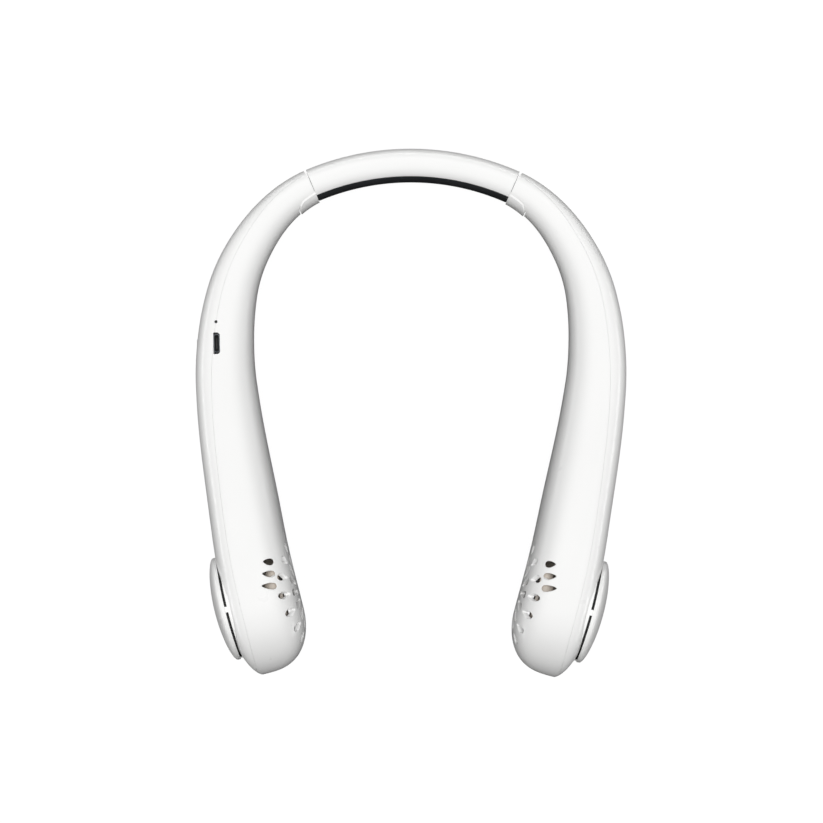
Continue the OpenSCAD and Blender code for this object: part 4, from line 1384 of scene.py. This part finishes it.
# %% [markdown]
# ## The power button
# The button is a small dished cap that sits just below the arm's outer face, so that a finger
# finds it. A flange behind the shell keeps it in, and its stem reaches the switch when the
# button is pressed.

# %% Power button
button_recess = 0.15
button_cap_h = 3.5
button_flange = 0.8
button_dish = 0.35
dish_edge_share = 0.7
dish_slope_share = 0.6
dish_round = 1
button_edge = 0.4
button_points = 96
stem_r = 1.5
button_travel = 0.5
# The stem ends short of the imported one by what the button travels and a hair's breadth
button_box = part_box("power_button")
stem_h = (button_box[1].x - button_box[0].x) / MM - button_travel - fit


def button_profile():
    """Radius and height of the button, from its dished top down to its stem."""
    cap_r, flange_r = button_d / 2, button_d / 2 + button_flange / 2
    corners = [[0, -button_dish], [dish_edge_share * cap_r, -dish_slope_share * button_dish],
               [cap_r, 0], [cap_r, -button_cap_h], [flange_r, -button_cap_h],
               [flange_r, -button_cap_h - button_flange], [stem_r, -button_cap_h - button_flange],
               [stem_r, -stem_h], [0, -stem_h]]
    return rounded(corners, {1: dish_round, 2: button_edge})


button = make_piece("power_button_cap", placed(
    lathe(button_profile(), button_points),
    button_frame @ Matrix.Translation((0, 0, -button_recess))))
dress(button, abs_white, "power_key", "white_abs", "power_button")
print("button stem:", round(stem_h, 2), "mm")

# %% [markdown]
# ## The charging socket
# The socket is a folded steel sleeve, plated in nickel and painted dark for the shade in its
# recess and the dark that it reflects, round a black body whose thin tongue carries the contacts.
# Its mouth has round ends, which is how one tells this kind of socket at a glance.

# %% Charging socket
socket_skin = 0.3
sleeve_round = 1.1
tongue_share = 0.62
body_depth = 4

sleeve_bottom = socket_top_z - socket_h
outside = round_slot(socket_len / 2, socket_w / 2, sleeve_round)
inside = round_slot(socket_len / 2 - socket_skin, socket_w / 2 - socket_skin,
                    sleeve_round - socket_skin)
sleeve_rings = [np.column_stack([ring, np.full(len(ring), z)]) for ring, z in (
    (outside, sleeve_bottom), (outside, socket_top_z), (inside, socket_top_z),
    (inside, sleeve_bottom + socket_skin))]
sleeve = make_piece("charging_socket_sleeve", placed(loft(sleeve_rings), socket_frame))
dress(sleeve, nickel_painted_dark, "left_arm", "plated_steel", "charging_socket")
tongue_outline = round_slot(tongue_share * socket_len / 2, socket_skin, socket_skin / 2)
contact_tongue = make_piece("charging_socket_tongue", placed(
    prism(tongue_outline, sleeve_bottom + socket_skin, socket_top_z - socket_recess), socket_frame))
socket_body = make_piece("body", placed(
    prism(inside, sleeve_bottom + socket_skin / 2, socket_top_z - body_depth), socket_frame))
carve(contact_tongue, socket_body, "UNION")
dress(contact_tongue, black_nylon, "left_arm", "black_plastic", "charging_socket")
print("socket mouth:", socket_len - 2 * socket_skin, "x", socket_w - 2 * socket_skin, "mm")

# %% [markdown]
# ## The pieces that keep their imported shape
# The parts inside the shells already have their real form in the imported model: turned, stamped
# and moulded parts with plain faces. They only need their finish, which goes into their slots.

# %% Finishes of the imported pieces
carried = {
    "band_lead": pvc, "hinge_bracket": zinc_plate, "hinge_pin": ground_steel,
    "hinge_screws": zinc_plate, "battery": shrink_film, "motor_lead": pvc,
    "motor_mount": black_nylon, "mount_screws": zinc_plate, "shaft_bearings": bronze,
    "stator": copper, "magnet_ring": ferrite, "motor_shaft": ground_steel, "impeller": taupe,
    "circuit_board": solder_mask, "board_parts": black_nylon, "status_light": smoked_lens,
    "button_switch": black_nylon,
}
for name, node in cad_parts.items():
    plain_name = name.removeprefix("left_").removeprefix("right_")
    if plain_name in carried:
        node.data.materials.clear()
        node.data.materials.append(carried[plain_name])
print("packed pieces shown:", sum(not node.hide_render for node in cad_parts.values()))

# %% [markdown]
# ## The floor
# The fan lies on a white page. To the camera the floor glows, and it still takes the object's
# shadow. For light that bounces back onto the object it is a dark table, so that the flanks
# and the undersides of the shells keep their shade.

# %% Floor
floor_half = 30000
floor_glow = 0.94
floor_grey = "#5a5a5a"
table_grey = "#242424"

floor_mesh = bpy.data.meshes.new("floor")
floor_mesh.from_pydata([(x * floor_half * MM, y * floor_half * MM, cad_box[0].z)
                        for x, y in ((-1, -1), (1, -1), (1, 1), (-1, 1))], [], [(0, 1, 2, 3)])
floor = bpy.data.objects.new("floor", floor_mesh)
bpy.context.scene.collection.objects.link(floor)

sweep = bpy.data.materials.new("white_sweep")
sweep.use_nodes = True
sweep_tree = sweep.node_tree
sweep_tree.nodes.clear()
paths = add_node(sweep_tree, "ShaderNodeLightPath")
glow = add_node(sweep_tree, "ShaderNodeEmission",
                {"Color": linear("#ffffff"), "Strength": floor_glow})
lit = add_node(sweep_tree, "ShaderNodeBsdfDiffuse", {"Color": linear(floor_grey)})
# These two nodes have two inputs of one name, so those are linked by number
page = add_node(sweep_tree, "ShaderNodeAddShader", links={0: glow.outputs[0], 1: lit.outputs[0]})
table = add_node(sweep_tree, "ShaderNodeBsdfDiffuse", {"Color": linear(table_grey)})
choice = add_node(sweep_tree, "ShaderNodeMixShader", links={
    "Fac": paths.outputs["Is Camera Ray"], 1: table.outputs[0], 2: page.outputs[0]})
add_node(sweep_tree, "ShaderNodeOutputMaterial", links={"Surface": choice.outputs[0]})
floor_mesh.materials.append(sweep)
print("floor:", 2 * floor_half * MM, "m wide")

# %% [markdown]
# ## The light
# The photograph has one very broad soft light from above and hardly any shadow. The room round
# it is dark, which is why the white flanks run to grey where they turn away from the light. A
# world that is bright round one direction, nearly overhead, and fades to a dim horizon gives
# exactly that. A wide lamp adds the soft highlight, and three low strips light the outer
# flanks from both sides and from behind. The world is plain white only where the camera looks
# straight at it.

# %% Lights
overhead_d = 1600
strip_len = 500
strip_w = 40
overhead = {"shape": "DISK", "size": overhead_d * MM, "energy": 4}
strip = {"shape": "RECTANGLE", "size": strip_len * MM, "size_y": strip_w * MM, "energy": 0.4}
lamps = {"overhead": (overhead, (0, 200, 1650)),
         "left_strip": (strip, (-360, -40, 25)),
         "right_strip": (strip, (360, -40, 25)),
         "back_strip": (strip, (0, 380, 25))}
for name, (settings, place) in lamps.items():
    lamp_data = bpy.data.lights.new(name, "AREA")
    for setting, value in settings.items():
        setattr(lamp_data, setting, value)
    lamp = bpy.data.objects.new(name, lamp_data)
    lamp.location = Vector(place) * MM
    lamp.visible_camera = False
    lamp.rotation_euler = (-lamp.location).to_track_quat("-Z", "Y").to_euler()
    bpy.context.scene.collection.objects.link(lamp)
print("lamps:", len(lamps))

# %% World
brightest_way = (0, -0.04, 0.999)
zenith_level = 1.87
horizon_level = 0.02
fade_start_share = 0.45

world = bpy.data.worlds.new("studio")
bpy.context.scene.world = world
world.use_nodes = True
world_tree = world.node_tree
world_tree.nodes.clear()
looked = add_node(world_tree, "ShaderNodeTexCoord")
toward = add_node(world_tree, "ShaderNodeVectorMath", {"operation": "DOT_PRODUCT"},
                  {0: looked.outputs["Generated"]})
toward.inputs[1].default_value = brightest_way
fade = add_node(world_tree, "ShaderNodeMapRange",
                {"interpolation_type": "SMOOTHSTEP", "From Min": fade_start_share,
                 "To Min": horizon_level, "To Max": zenith_level},
                {"Value": toward.outputs["Value"]})
world_paths = add_node(world_tree, "ShaderNodeLightPath")
seen_white = add_node(world_tree, "ShaderNodeMapRange", {"To Max": 1.0},
                      {"Value": world_paths.outputs["Is Camera Ray"],
                       "To Min": fade.outputs["Result"]})
sky = add_node(world_tree, "ShaderNodeBackground", {"Color": linear("#ffffff")},
               {"Strength": seen_white.outputs["Result"]})
add_node(world_tree, "ShaderNodeOutputWorld", links={"Surface": sky.outputs["Background"]})
bpy.context.scene.view_settings.view_transform = "Standard"
print("light overhead and at the horizon:", zenith_level, horizon_level)
